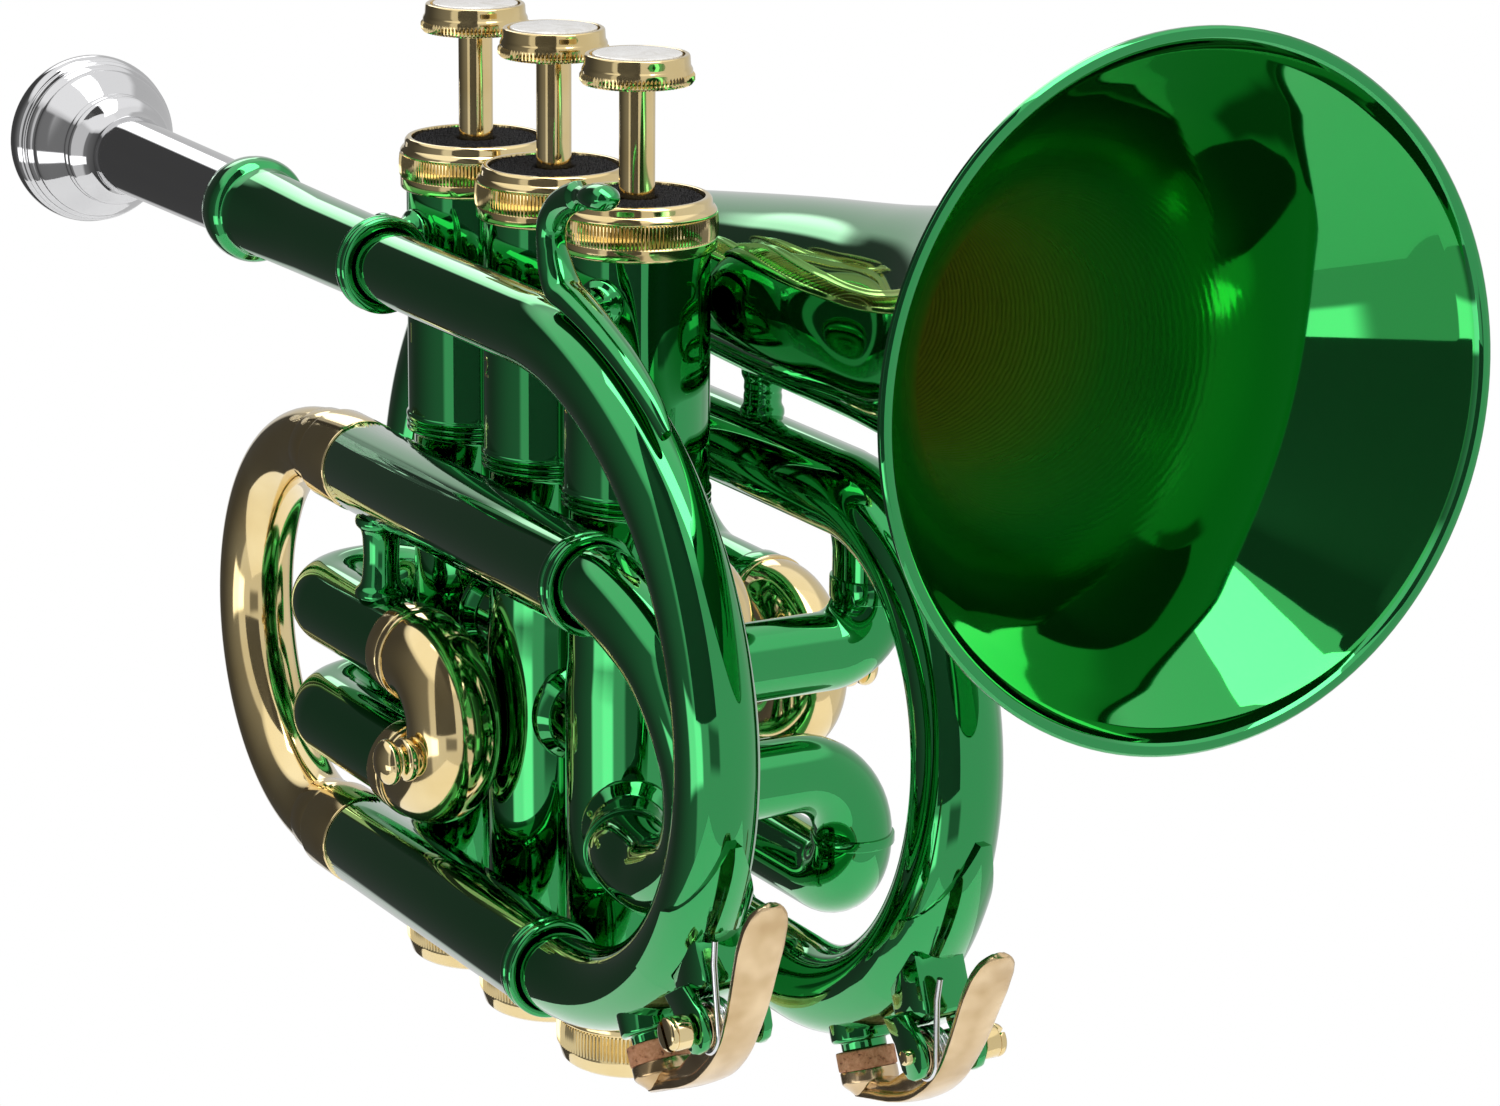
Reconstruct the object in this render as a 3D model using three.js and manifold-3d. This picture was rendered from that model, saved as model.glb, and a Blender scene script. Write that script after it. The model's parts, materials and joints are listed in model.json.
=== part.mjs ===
// Pocket trumpet: three piston valves, green lacquered tubes, brass slides and caps, plated mouthpiece.
// Millimetres. +X runs towards the bell, +Z up along the valves, -Y is the mouthpipe side.
// The origin lies on the axis of the middle valve, on the flat face of its bottom cap.
import * as THREE from "three";
import { mergeVertices } from "three/addons/utils/BufferGeometryUtils.js";
import Module from "manifold-3d";

const wasm = await Module();
wasm.setup();

// Shared fits and finish
const gap = 0.3; // between neighbouring pieces
const cut_margin = 2; // how far a cutter runs past what it cuts
const sides = { tube: 12, fine: 14, bell: 28, rod: 8, wire: 5, mouth: 16 };
const step_angle = 16.4; // degrees of bend between two sections of a tube

// Valves
const valve_pitch = 25.85;
const valves = [1, 2, 3];
const valve_x = (n) => (n - 2) * valve_pitch;
const casing = {
  bore: 8.6, lower_r: 10.3, waist_r: 9.7, shoulder_r: 9.9, upper_r: 10.6, band_r: 10.9, groove_r: 10.4,
  bottom_z: 3.4, waist_z: 62, waist_top_z: 84.2, band_z: 85.2, band_h: 2.8, top_z: 126.2, band_count: 3,
  port_r: 5.2,
  ridge_share: 0.6, groove_share: 0.8,
};
const knuckle = { start_r: 9.2, y: [-0.6, -1.2], z: [58.2, 49.2] };
const cap = { r: 11.7, face_r: 10.8, chamfer: 2.4, top_z: 8, floor: 3.1 };
const head = {
  r: 11.64, bottom_z: 122.5, knurl_top_z: 127.9, bevel_z: 128.7, bevel_r: 11.3, top_z: 130.3,
  rim_r: 10.1, felt_r: 9.7, plate_z: 126.5, plate_top_z: 127.2, hole_r: 3.1,
};
const felt = { hole_r: 2.95 };
const stem = { r: 2.57, top_z: 146.9, collar_r: 6.5, collar_h: 2.2 };
const piston = { r: 8.3, bottom_z: 30, top_z: 84, port_r: 5.3, port_z: [38.9, 58.2] };
const button = {
  r: 8.16, bottom_z: 146.2, edge_z: 148.3, shoulder_z: 148.9, shoulder_r: 7.6, top_z: 150.5,
  face_r: 7.43, pearl_r: 6.7, pearl_depth: 1, pearl_rise: 0.25, dome_share: 0.6,
};
const spring = { wire_r: 0.45, r: 6.2, turns: 4, steps: 8 };

// Main tubing
const tube_r = 6;
const mouthpipe = { y: -22.3, z: 115.2, r: 5.4, start_x: -36.7, ring_x: -11.4 };
const receiver = {
  x: -62.7, r: 6.6, end_r: 6.2, lip_r: 6.9, lip_w: 0.7, bulb_x: -58, bulb_r: 8.3, bulb_half: 2,
  bulb_drop: 0.4,
  rim_r: 7.5, neck_x: -54, ring_r: 7.3, ring_w: 2.6, mouth_r: 6.15, socket_r: 5.7, socket_depth: 22.5,
  socket_lip: 1.5,
};
const bow_a = { x: 36, reach: 50.9, leg_y: -18.5, leg_z: 19.8 };
const sleeve = { r: 7, bore: 6.35, ring_r: 7.35, ring_w: 1.6, rear_x: -38, ferrule_x: -29, ferrule_r: 7.15,
  insert: 3 };
const upper_leg = { y: -17.8, z: 80, front_x: 46.9 };
const lower_leg = { front_x: 36.1 };
const tuning = { x: -42.1, reach: 28.3, r: 5.9, insert: 30 };
const inner_bow = { x: 52, foot_y: -12.8, nest_gap: 1.9, port_z: 38.9, port_yaw: -30.7, bend: 12 };
const bell = {
  tail_x: -40.5, tail_y: 24.5, tail_z: 110.5, rim_x: 130.2, rim_y: 25, rim_z: 120.3, rim_r: 46.9, wall: 0.9,
  bead_w: 1.6, bead_edge_w: 1.4, bead_drop: 1.2, bead_r: 1.1, closed_s: 14, brace_points: 6,
};
const bell_profile = [
  [0, 8.3], [20, 9.4], [45, 11.7], [72, 14], [102, 16.2], [122, 19], [136, 23], [147, 28.3], [156, 34.4],
  [163, 40.2], [168, 44.8],
];
const rear_bow = { leg_y: 18, leg_z: 15.1, front_x: 20, r: 6.45 };
const bow_b = { x: 44.9, reach: 35.8, top_y: 24, top_z: 88.1, rear_x: -8 };
const outlet = { z: 60, bend: 9 };

// Valve slides
const crook = { r: 6.3, leg_r: 5.4, bore: 5.9, ferrule_w: 3.5, ring_w: 1.3, ring_rise: 0.3 };
const slide_1 = {
  bend_x: -39.2, y: -18, z: [37, 55.2], r: 6.4, crook_r: 7.1, ferrule_r: 7.3, front_x: -10, bow_x: -6.9,
  insert: 14,
  knob_drop: 2.9,
};
const slide_2 = { x: 0, z: [47.5, 64.5], mouth_y: 16.6, bow_y: 18.8, insert: 5, stay_r: 2, stay_sunk: 0.4 };
const slide_3 = {
  port_z: [39.8, 58.2], turn_y: [37.3, 40], bends: [[11, 8.6], [8.4, 8.4]], out_z: [20, 80.9], rear_x: -31,
  crook_y: 45,
  crook_z: [36.3, 55.3], front_x: -14, bow_x: -11, insert: 16, bore: 5.7, ring_w: [1.6, 3.4],
  ring_rise: 0.45, ring_back_share: 0.25,
};
const knob = {
  base_r: 2.4, neck_r: 2, bead_r: 3.5, flange_r: 3.3, length: 5.8, tip_r: 2.5,
  shares: { flange: 0.035, flange_top: 0.29, neck: 0.36, neck_top: 0.45, bead: 0.52, bead_top: 0.79,
    tip: 0.93 },
};

// Fittings
const hook = {
  r: 2.1, height: 15,
  rest_degrees: [46.4, 42.2, 34.2, 24, 16.6, 11.8],
  free_shares: [
    [-0.187, 0.233], [-0.247, 0.413], [-0.227, 0.587], [-0.067, 0.76], [0.233, 0.9], [0.56, 0.96],
    [0.94, 1],
  ],
  steps: 15,
};
const brace = {
  r: 2.1, foot_r: 4.2, foot_h: 1.6, front_turn: -56, rear_turn: -85, rise: 1.4, leg_x: -23,
  bell_x: 20, bell_r: 3.1,
};
const key = {
  seat_a: 148, seat_b: 157.2, nipple_r: 4.6, neck_r: 3.3, flange_h: 7.4, seat_h: 8.7, cork_r: 4.3,
  cork_h: 2.3,
  cup_r: 4.2, cup_h: 2.2, reach: 22, pivot_h: 10.6, post_y: 4.9, post_t: 1.5, post_w: 6.2, post_lean: 2.6,
  post_end: 13.9,
  post_round: 2, post_rise: 1.4, post_cut: 0.4, strap_h: 1.5, strap_out: 6.2, screw_r: 1.1,
  screw_head_r: 2.4,
  screw_head_h: 3.6, screw_tip: 0.8, barrel_r: 2.9, lever_t: 1.3, tongue: 14, tongue_w: 3.4,
  tongue_tip: 0.8,
  tongue_depth: 14, web_t: 2.4, web_h: 5, lever_length: 44.6, lever_h: 16.4, leaf_w: 3.6, leaf_depth: 60,
  leaf_y: -0.7,
  lever_steps: 12,
};
// Lever line as shares of its length and height, and half widths of its leaf as shares of length and width.
const lever_shares = [[-0.022, 0.83], [0.09, 0.94], [0.224, 1], [0.359, 1], [0.516, 0.896], [0.65, 0.683],
  [0.785, 0.384], [0.888, 0.14], [0.985, -0.06]];
const leaf_shares = [[-0.045, 0.78], [0.18, 0.76], [0.38, 0.7], [0.54, 0.8], [0.695, 0.96], [0.83, 1],
  [0.91, 0.86],
  [0.965, 0.54], [0.985, 0.2]];
const mouthpiece = {
  rim_x: -129.5, rim_r: 14, end_x: -41, cup_h: 22, shank_r: 6.2, shank_x: 25.5, taper_r: 5.8, taper_h: 21.7,
  end_r: 5.25,
  bore_r: 1.9, bore_end_r: 3.9, cup_depth: 16,
};
// Outside of the cup as shares of its height and of the rim radius.
const cup_shares = [
  [0.009, 0.757], [0, 0.857], [0.023, 0.957], [0.091, 1], [0.182, 1], [0.236, 0.943], [0.264, 0.964],
  [0.291, 0.921],
  [0.318, 0.936], [0.382, 0.871], [0.409, 0.879], [0.5, 0.779], [0.614, 0.636], [0.645, 0.664],
  [0.677, 0.629],
  [0.718, 0.65], [0.755, 0.586], [0.818, 0.5], [0.909, 0.45], [1, 0.464],
];
// Inside of the cup, from the throat to the rim, as shares of its depth and of the rim radius.
const throat_shares = [[1, 0.136], [0.781, 0.186], [0.5625, 0.386], [0.3125, 0.529], [0.1, 0.586],
  [0.031, 0.643]];
// Where the bore widens behind the throat, as shares of the cup depth and of the bore.
const backbore_share = [2.125, 1.37];

// Colours
const paint = {
  green: [0x0f7a3c, 0.12, 0.85], brass: [0xd9b36a, 0.16, 0.9], chrome: [0xc9ccd0, 0.08, 1],
  felt: [0x15151a, 0.95, 0], pearl: [0xf4f1ea, 0.2, 0], cork: [0xb77a4c, 0.85, 0],
  steel: [0xb9bcc0, 0.25, 1],
};

const root = new THREE.Group();

// Builders shared by the pieces

const at = (x, y, z) => new THREE.Vector3(x, y, z);
const radians = THREE.MathUtils.degToRad;

// Any closed geometry as a manifold-3d solid.
function solid(geometry) {
  const flat = geometry.index ? geometry.toNonIndexed() : geometry;
  const bare = new THREE.BufferGeometry().setAttribute("position", flat.attributes.position);
  const merged = mergeVertices(bare, 1e-4);
  return new wasm.Manifold(new wasm.Mesh({
    numProp: 3,
    vertProperties: new Float32Array(merged.attributes.position.array),
    triVerts: new Uint32Array(merged.index.array),
  }));
}

// A manifold-3d solid as geometry.
function shape(body) {
  const mesh = body.getMesh();
  const geometry = new THREE.BufferGeometry();
  geometry.setAttribute("position", new THREE.BufferAttribute(new Float32Array(mesh.vertProperties), 3));
  geometry.setIndex(new THREE.BufferAttribute(new Uint32Array(mesh.triVerts), 1));
  return geometry;
}

// Adds one named piece.
function piece(name, body, finish) {
  const [color, roughness, metalness] = paint[finish];
  const geometry = body.isBufferGeometry ? body : shape(body);
  const mesh = new THREE.Mesh(geometry, new THREE.MeshStandardMaterial({ color, roughness, metalness }));
  mesh.name = name;
  root.add(mesh);
}

// A turned solid: profile points are [along, radius], the axis runs from origin along direction.
function turned(profile, count, origin, direction) {
  const points = profile.map(([along, r]) => new THREE.Vector2(r, along));
  const closed = points[0].x > 0 || points[points.length - 1].x > 0;
  if (closed) points.push(points[0].clone());
  const geometry = new THREE.LatheGeometry(points, count);
  const turn = new THREE.Quaternion().setFromUnitVectors(at(0, 1, 0), direction.clone().normalize());
  geometry.applyQuaternion(turn).translate(origin.x, origin.y, origin.z);
  const body = solid(geometry);
  return body.volume() < 0 ? turned([...profile].reverse(), count, origin, direction) : body;
}

// A table of shares as lengths.
const sized = (shares, along, across) => shares.map(([a, b]) => [a * along, b * across]);

const up = at(0, 0, 1);
const forward = at(1, 0, 0);
const left = at(0, -1, 0);

// A straight round bar between two points.
function bar(a, b, r, count = sides.tube) {
  const axis = b.clone().sub(a);
  return turned([[0, 0], [0, r], [axis.length(), r], [axis.length(), 0]], count, a, axis);
}

// The radius of a cutter that keeps the gap from a faceted tube, on its flats and edges alike.
const clear = (r, count = sides.fine) => (r + gap) / Math.cos(Math.PI / count);

// A round section swept along a track, its radius running evenly from r to end_r.
function sweep(track, r, count = sides.tube, end_r = r) {
  const section = new THREE.Shape(
    Array.from({ length: count }, (_, i) => {
      const angle = (2 * Math.PI * i) / count;
      return new THREE.Vector2(r * Math.cos(angle), r * Math.sin(angle));
    }),
  );
  const steps = track.steps;
  const geometry = new THREE.ExtrudeGeometry(section, { steps, extrudePath: track, bevelEnabled: false });
  if (end_r !== r) taper(geometry, track.getSpacedPoints(steps), r, end_r);
  return solid(geometry);
}

// Scales each section of a swept tube about its own station.
function taper(geometry, stations, r, end_r) {
  const position = geometry.attributes.position;
  const point = new THREE.Vector3();
  for (let i = 0; i < position.count; i++) {
    point.fromBufferAttribute(position, i);
    const errors = stations.map((station) => Math.abs(station.distanceTo(point) - r));
    const k = errors.indexOf(Math.min(...errors));
    const radius = r + ((end_r - r) * k) / (stations.length - 1);
    point.sub(stations[k]).multiplyScalar(radius / r).add(stations[k]);
    position.setXYZ(i, point.x, point.y, point.z);
  }
}

// Straight legs and bends one after another, each with its own number of steps.
class Track extends THREE.Curve {
  constructor(parts) {
    super();
    this.parts = parts.flatMap((part) => part.parts || [part]);
    this.counts = this.parts.map((part) => part.count || 1);
    this.steps = this.counts.reduce((sum, count) => sum + count, 0);
  }
  getUtoTmapping(u) {
    return u;
  }
  getPoint(t) {
    let left_over = t * this.steps;
    let k = 0;
    while (k < this.parts.length - 1 && left_over > this.counts[k]) left_over -= this.counts[k++];
    return this.parts[k].getPoint(left_over / this.counts[k]);
  }
}

const line = (from, to) => new THREE.LineCurve3(from, to);

// The circular arc about a centre from one point to another.
class Arc extends THREE.Curve {
  constructor(centre, from, to) {
    super();
    this.centre = centre;
    this.a = from.clone().sub(centre);
    this.b = to.clone().sub(centre);
    this.angle = this.a.angleTo(this.b);
    this.count = Math.ceil(THREE.MathUtils.radToDeg(this.angle) / step_angle);
  }
  getPoint(t) {
    const s = Math.sin(this.angle);
    return this.centre.clone()
      .addScaledVector(this.a, Math.sin((1 - t) * this.angle) / s)
      .addScaledVector(this.b, Math.sin(t * this.angle) / s);
  }
}

// A run of straight legs through the points, with each corner rounded to its own radius.
function run(points, radii) {
  const parts = [];
  let from = points[0];
  for (let i = 1; i < points.length - 1; i++) {
    const corner = points[i];
    const back = points[i - 1].clone().sub(corner).normalize();
    const ahead = points[i + 1].clone().sub(corner).normalize();
    const half = back.angleTo(ahead) / 2;
    const radius = radii[i - 1];
    const reach = radius / Math.tan(half);
    const start = corner.clone().addScaledVector(back, reach);
    const end = corner.clone().addScaledVector(ahead, reach);
    const centre = corner.clone().addScaledVector(back.clone().add(ahead).normalize(),
      radius / Math.sin(half));
    parts.push(line(from, start), new Arc(centre, start, end));
    from = end;
  }
  parts.push(line(from, points[points.length - 1]));
  return new Track(parts);
}

// Half an ellipse from the top point to the foot point, bulging by reach along X or along the ways given.
class Bow extends THREE.Curve {
  constructor(top, foot, reach, top_way = forward, foot_way = forward) {
    super();
    this.middle = top.clone().add(foot).divideScalar(2);
    this.half = top.clone().sub(foot).divideScalar(2);
    this.reach = reach;
    this.ways = [top_way, foot_way];
    this.count = Math.ceil(180 / step_angle);
  }
  getPoint(t) {
    const way = this.ways[0].clone().lerp(this.ways[1], t);
    return this.middle.clone()
      .addScaledVector(this.half, Math.cos(Math.PI * t))
      .addScaledVector(way, this.reach * Math.sin(Math.PI * t));
  }
}

// A bow with straight legs that end at the two X values given.
function legged(top, foot, reach, top_x, foot_x) {
  return new Track([
    line(at(top_x, top.y, top.z), top), new Bow(top, foot, reach), line(foot, at(foot_x, foot.y, foot.z)),
  ]);
}

// A smooth curve through points with a set number of steps.
function smooth(points, count) {
  const curve = new THREE.CatmullRomCurve3(points, false, "centripetal");
  curve.count = count;
  return new Track([curve]);
}

// A straight tube along X, from rear to front, as outer and bore radii.
function pipe(rear, front, y, z, r, bore) {
  return turned([[0, bore], [0, r], [front - rear, r], [front - rear, bore]], sides.fine, at(rear, y, z),
    forward);
}

const ring = (x, y, z, r, bore, width) => pipe(x - width / 2, x + width / 2, y, z, r, bore);
const valve_column = (n, r) => bar(at(valve_x(n), 0, -cut_margin), at(valve_x(n), 0, stem.top_z), r,
  sides.fine);

// Mouthpiece and mouthpipe

function make_mouthpiece() {
  const { rim_x, rim_r, end_x, cup_h, shank_r, shank_x, taper_r, taper_h, end_r, bore_r, bore_end_r,
    cup_depth } = mouthpiece;
  const length = end_x - rim_x;
  const outside = sized(cup_shares, cup_h, rim_r);
  const inside = sized(throat_shares, cup_depth, rim_r);
  const [back_share, wide_share] = backbore_share;
  const profile = [
    ...outside, [shank_x, shank_r], [length - taper_h, taper_r], [length, end_r], [length, bore_end_r],
    [back_share * cup_depth, wide_share * bore_r], ...inside,
  ];
  piece("mouthpiece", turned(profile, sides.mouth, at(rim_x, mouthpipe.y, mouthpipe.z), forward), "chrome");
}

function make_receiver() {
  const c = receiver;
  const bulb = c.bulb_x - c.x;
  const ring_end = mouthpipe.ring_x + c.ring_w / 2 - c.x;
  const pipe_bore = mouthpipe.r + gap;
  const profile = [
    [0, c.lip_r], [c.lip_w, c.rim_r], [bulb - c.bulb_half, c.bulb_r - c.bulb_drop], [bulb, c.bulb_r],
    [bulb + c.bulb_half, c.bulb_r - c.bulb_drop], [c.neck_x - c.x, c.r], [ring_end - c.ring_w, c.end_r],
    [ring_end - c.ring_w, c.ring_r], [ring_end, c.ring_r], [ring_end, pipe_bore],
    [c.socket_depth + c.socket_lip, pipe_bore], [c.socket_depth, c.socket_r], [0, c.mouth_r],
  ];
  piece("receiver", turned(profile, sides.fine, at(c.x, mouthpipe.y, mouthpipe.z), forward), "green");
}

// Front bow of the mouthpipe, with its water nipple

const bow_a_top = at(bow_a.x, mouthpipe.y, mouthpipe.z);
const bow_a_foot = at(bow_a.x, bow_a.leg_y, bow_a.leg_z);
const bow_b_top = at(bow_b.x, bow_b.top_y, bow_b.top_z);
const bow_b_foot = at(bow_b.x, rear_bow.leg_y, rear_bow.leg_z);

// The frame of a water key on a bow: seat point on the centre line, outward normal, run towards the thumb.
function key_frame(top, foot, reach, degrees, mirror) {
  const curve = new Bow(top, foot, reach);
  const t = degrees / 180;
  const seat = curve.getPoint(t);
  const along = curve.getTangent(t).setY(0).normalize().negate();
  const out = at(-along.z, 0, along.x).negate();
  if (out.z > 0) out.negate();
  const side = at(0, mirror, 0);
  return { seat, along, out, side };
}

const frame_a = key_frame(bow_a_top, bow_a_foot, bow_a.reach, key.seat_a, -1);
const frame_b = key_frame(bow_b_top, bow_b_foot, bow_b.reach, key.seat_b, 1);
const place = (f, along, out, side = 0) =>
  f.seat.clone().addScaledVector(f.along, along).addScaledVector(f.out, out).addScaledVector(f.side, side);

function nipple(f) {
  const { nipple_r, neck_r, flange_h, seat_h } = key;
  return turned(
    [[cut_margin, 0], [cut_margin, nipple_r], [flange_h, nipple_r], [flange_h, neck_r], [seat_h, neck_r],
      [seat_h, 0]],
    sides.fine, f.seat, f.out,
  );
}

const bow_a_curve = legged(bow_a_top, bow_a_foot, bow_a.reach, mouthpipe.start_x,
  lower_leg.front_x - sleeve.insert);
const bow_b_curve = legged(bow_b_top, bow_b_foot, bow_b.reach, bow_b.rear_x, rear_bow.front_x + gap);

function make_mouthpipe() {
  const body = sweep(bow_a_curve, mouthpipe.r, sides.tube, tube_r);
  piece("mouthpipe", body.add(nipple(frame_a)), "green");
}

// Outer legs of the tuning slide, hollow for its inner legs

function leg_sleeve(name, y, z, front) {
  const { r, bore, ring_r, ring_w, rear_x, ferrule_x, ferrule_r } = sleeve;
  const start = ferrule_x + gap;
  const profile = [[start, bore], [start, r], [front - ring_w, r], [front - ring_w, ring_r],
    [front, ring_r], [front, bore]];
  piece(name + "_sleeve", turned(profile, sides.fine, at(0, y, z), forward), "green");
  piece(name + "_ferrule", pipe(rear_x, ferrule_x, y, z, ferrule_r, bore), "brass");
}

function make_tuning_crook() {
  const top = at(tuning.x, upper_leg.y, upper_leg.z);
  const foot = at(tuning.x, bow_a.leg_y, bow_a.leg_z);
  const inner_x = sleeve.rear_x + tuning.insert;
  piece("tuning_crook", sweep(legged(top, foot, -tuning.reach, inner_x, inner_x), tuning.r), "brass");
}

// Inner bow from the upper leg down into valve 3

function make_inner_bow() {
  const { x, foot_y, nest_gap, port_z, port_yaw, bend } = inner_bow;
  const yaw = radians(port_yaw);
  const axis = at(Math.cos(yaw), Math.sin(yaw), 0);
  const port = at(valve_x(3), 0, port_z);
  const start = port.clone().addScaledVector(axis, casing.waist_r - cut_margin);
  const corner = port.clone().addScaledVector(axis, foot_y / axis.y);
  const top = at(x, upper_leg.y, upper_leg.z);
  const foot = at(x, foot_y, port_z);
  const reach = bow_a.x + bow_a.reach - 2 * tube_r - nest_gap - x;
  const path = new Track([
    line(at(upper_leg.front_x - sleeve.insert, upper_leg.y, upper_leg.z), top), new Bow(top, foot, reach),
    run([foot, corner, start], [bend]),
  ]);
  piece("inner_bow", sweep(path, tube_r).subtract(valve_column(3, clear(casing.lower_r))), "green");
}

// Valve casings with the knuckles brazed between them

function casing_profile() {
  const c = casing;
  const profile = [[c.bottom_z, c.bore], [c.bottom_z, c.lower_r], [c.waist_z, c.shoulder_r],
    [c.waist_top_z, c.waist_r]];
  const pitch = c.band_h / c.band_count;
  for (let i = 0; i < c.band_count; i++) {
    const z = c.band_z + i * pitch;
    profile.push([z, c.band_r], [z + pitch * c.ridge_share, c.band_r],
      [z + pitch * c.groove_share, c.groove_r]);
  }
  profile.push([c.band_z + c.band_h, c.upper_r], [c.top_z, c.upper_r], [c.top_z, c.bore]);
  return profile;
}

function port_holes(n) {
  const x = valve_x(n);
  const reach = casing.band_r + cut_margin;
  const hole = (z, dx, dy) => bar(at(x, 0, z), at(x + dx * reach, dy * reach, z), casing.port_r);
  if (n === 1) return [...slide_1.z.map((z) => hole(z, -1, 0)), hole(outlet.z, 0, 1)];
  return (n === 2 ? slide_2.z : slide_3.port_z).map((z) => hole(z, 0, 1));
}

function make_casing(n) {
  let body = turned(casing_profile(), sides.fine, at(valve_x(n), 0, 0), up);
  port_holes(n).forEach((hole) => (body = body.subtract(hole)));
  if (n <= knuckle.z.length) {
    const [y, z] = [knuckle.y[n - 1], knuckle.z[n - 1]];
    const tube = bar(at(valve_x(n) + knuckle.start_r, y, z), at(valve_x(n + 1), y, z), tube_r);
    body = body.add(tube.subtract(valve_column(n + 1, casing.lower_r + gap)));
  }
  piece("casing_" + n, body, "green");
}

function make_bottom_cap(n) {
  const { r, face_r, chamfer, top_z, floor } = cap;
  const inner = casing.lower_r + gap;
  const profile = [[0, 0], [0, face_r], [chamfer, r], [top_z, r], [top_z, inner], [floor, inner],
    [floor, 0]];
  piece("bottom_cap_" + n, turned(profile, sides.fine, at(valve_x(n), 0, 0), up), "brass");
}

function make_top_cap(n) {
  const h = head;
  const inner = casing.upper_r + gap;
  const profile = [
    [h.bottom_z, inner], [h.bottom_z, h.r], [h.knurl_top_z, h.r], [h.bevel_z, h.bevel_r],
    [h.top_z, h.rim_r],
    [h.top_z, h.felt_r], [h.plate_top_z, h.felt_r], [h.plate_top_z, h.hole_r], [h.plate_z, h.hole_r],
    [h.plate_z, inner],
  ];
  piece("top_cap_" + n, turned(profile, sides.fine, at(valve_x(n), 0, 0), up), "brass");
}

function make_felt(n) {
  const base = head.plate_top_z + gap;
  const profile = [[base, felt.hole_r], [base, head.felt_r - gap], [head.top_z, head.felt_r - gap],
    [head.top_z, felt.hole_r]];
  piece("felt_" + n, turned(profile, sides.fine, at(valve_x(n), 0, 0), up), "felt");
}

function make_piston(n) {
  const collar_top = head.plate_z - gap;
  const profile = [
    [piston.bottom_z, 0], [piston.bottom_z, piston.r], [piston.top_z, piston.r], [piston.top_z, stem.r],
    [collar_top - stem.collar_h, stem.r], [collar_top - stem.collar_h, stem.collar_r],
    [collar_top, stem.collar_r],
    [collar_top, stem.r], [stem.top_z, stem.r], [stem.top_z, 0],
  ];
  let body = turned(profile, sides.fine, at(valve_x(n), 0, 0), up);
  const reach = piston.r + cut_margin;
  piston.port_z.forEach((z, i) => {
    const tilt = i ? 0 : reach;
    body = body.subtract(bar(at(valve_x(n) - tilt, -reach, z), at(valve_x(n) + tilt, reach, z),
      piston.port_r));
  });
  piece("piston_" + n, body, "brass");
}

function make_button(n) {
  const b = button;
  const socket_r = stem.r + gap;
  const socket_z = stem.top_z + gap;
  const floor = b.top_z - b.pearl_depth;
  const profile = [
    [socket_z, 0], [socket_z, socket_r], [b.bottom_z, socket_r], [b.bottom_z, b.r], [b.edge_z, b.r],
    [b.shoulder_z, b.shoulder_r], [b.top_z, b.face_r], [b.top_z, b.pearl_r], [floor, b.pearl_r], [floor, 0],
  ];
  piece("button_" + n, turned(profile, sides.fine, at(valve_x(n), 0, 0), up), "brass");
  const r = b.pearl_r - gap;
  const dome_z = b.top_z + b.pearl_rise;
  const pearl = [[floor + gap, 0], [floor + gap, r], [b.top_z, r], [dome_z, r * b.dome_share], [dome_z, 0]];
  piece("pearl_" + n, turned(pearl, sides.fine, at(valve_x(n), 0, 0), up), "pearl");
}

// A coil spring as one unbroken wire, standing on the bottom cap
class Coil extends THREE.Curve {
  constructor(centre, r, low, high, turns) {
    super();
    Object.assign(this, { centre, r, low, high, turns, count: turns * spring.steps });
  }
  getPoint(t) {
    const angle = 2 * Math.PI * this.turns * t;
    return at(this.r * Math.cos(angle), this.r * Math.sin(angle),
      this.low + (this.high - this.low) * t).add(this.centre);
  }
}

function make_spring(n) {
  const low = cap.floor + gap + spring.wire_r;
  const high = piston.bottom_z - gap - spring.wire_r;
  const coil = new Coil(at(valve_x(n), 0, 0), spring.r, low, high, spring.turns);
  piece("spring_" + n, sweep(new Track([coil]), spring.wire_r, sides.wire), "steel");
  if (n === 1) console.log("least gap between spring turns",
    ((high - low) / spring.turns - 2 * spring.wire_r).toFixed(2));
}

// First valve slide on the mouthpipe side

function make_slide_1() {
  const s = slide_1;
  const x = valve_x(1);
  const mid_y = s.y / 2;
  ["lower", "upper"].forEach((level, i) => {
    const z = s.z[i];
    const centre = at(s.bend_x, mid_y, z);
    const apex = at(s.bend_x + mid_y, mid_y, z);
    const port = at(s.bend_x, 0, z);
    const leg = at(s.bend_x, s.y, z);
    const end = s.front_x - crook.ferrule_w - gap;
    const path = new Track([
      line(at(x - casing.lower_r + cut_margin, 0, z), port), new Arc(centre, port, apex),
        new Arc(centre, apex, leg),
      line(leg, at(end, s.y, z)),
    ]);
    const bore = bar(at(s.front_x - s.insert - gap, s.y, z), at(s.front_x, s.y, z), crook.bore, sides.fine);
    piece("slide_1_sleeve_" + level,
      sweep(path, s.r).subtract(valve_column(1, clear(casing.lower_r))).subtract(bore), "green");
    piece("slide_1_ferrule_" + level,
      pipe(s.front_x - crook.ferrule_w, s.front_x, s.y, z, s.ferrule_r, crook.bore), "brass");
  });
  const top = at(s.bow_x, s.y, s.z[1]);
  const foot = at(s.bow_x, s.y, s.z[0]);
  piece("slide_1_crook", slide_crook(top, foot, s.front_x + gap, s.insert, left, s.crook_r, s.knob_drop),
    "brass");
}

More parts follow.
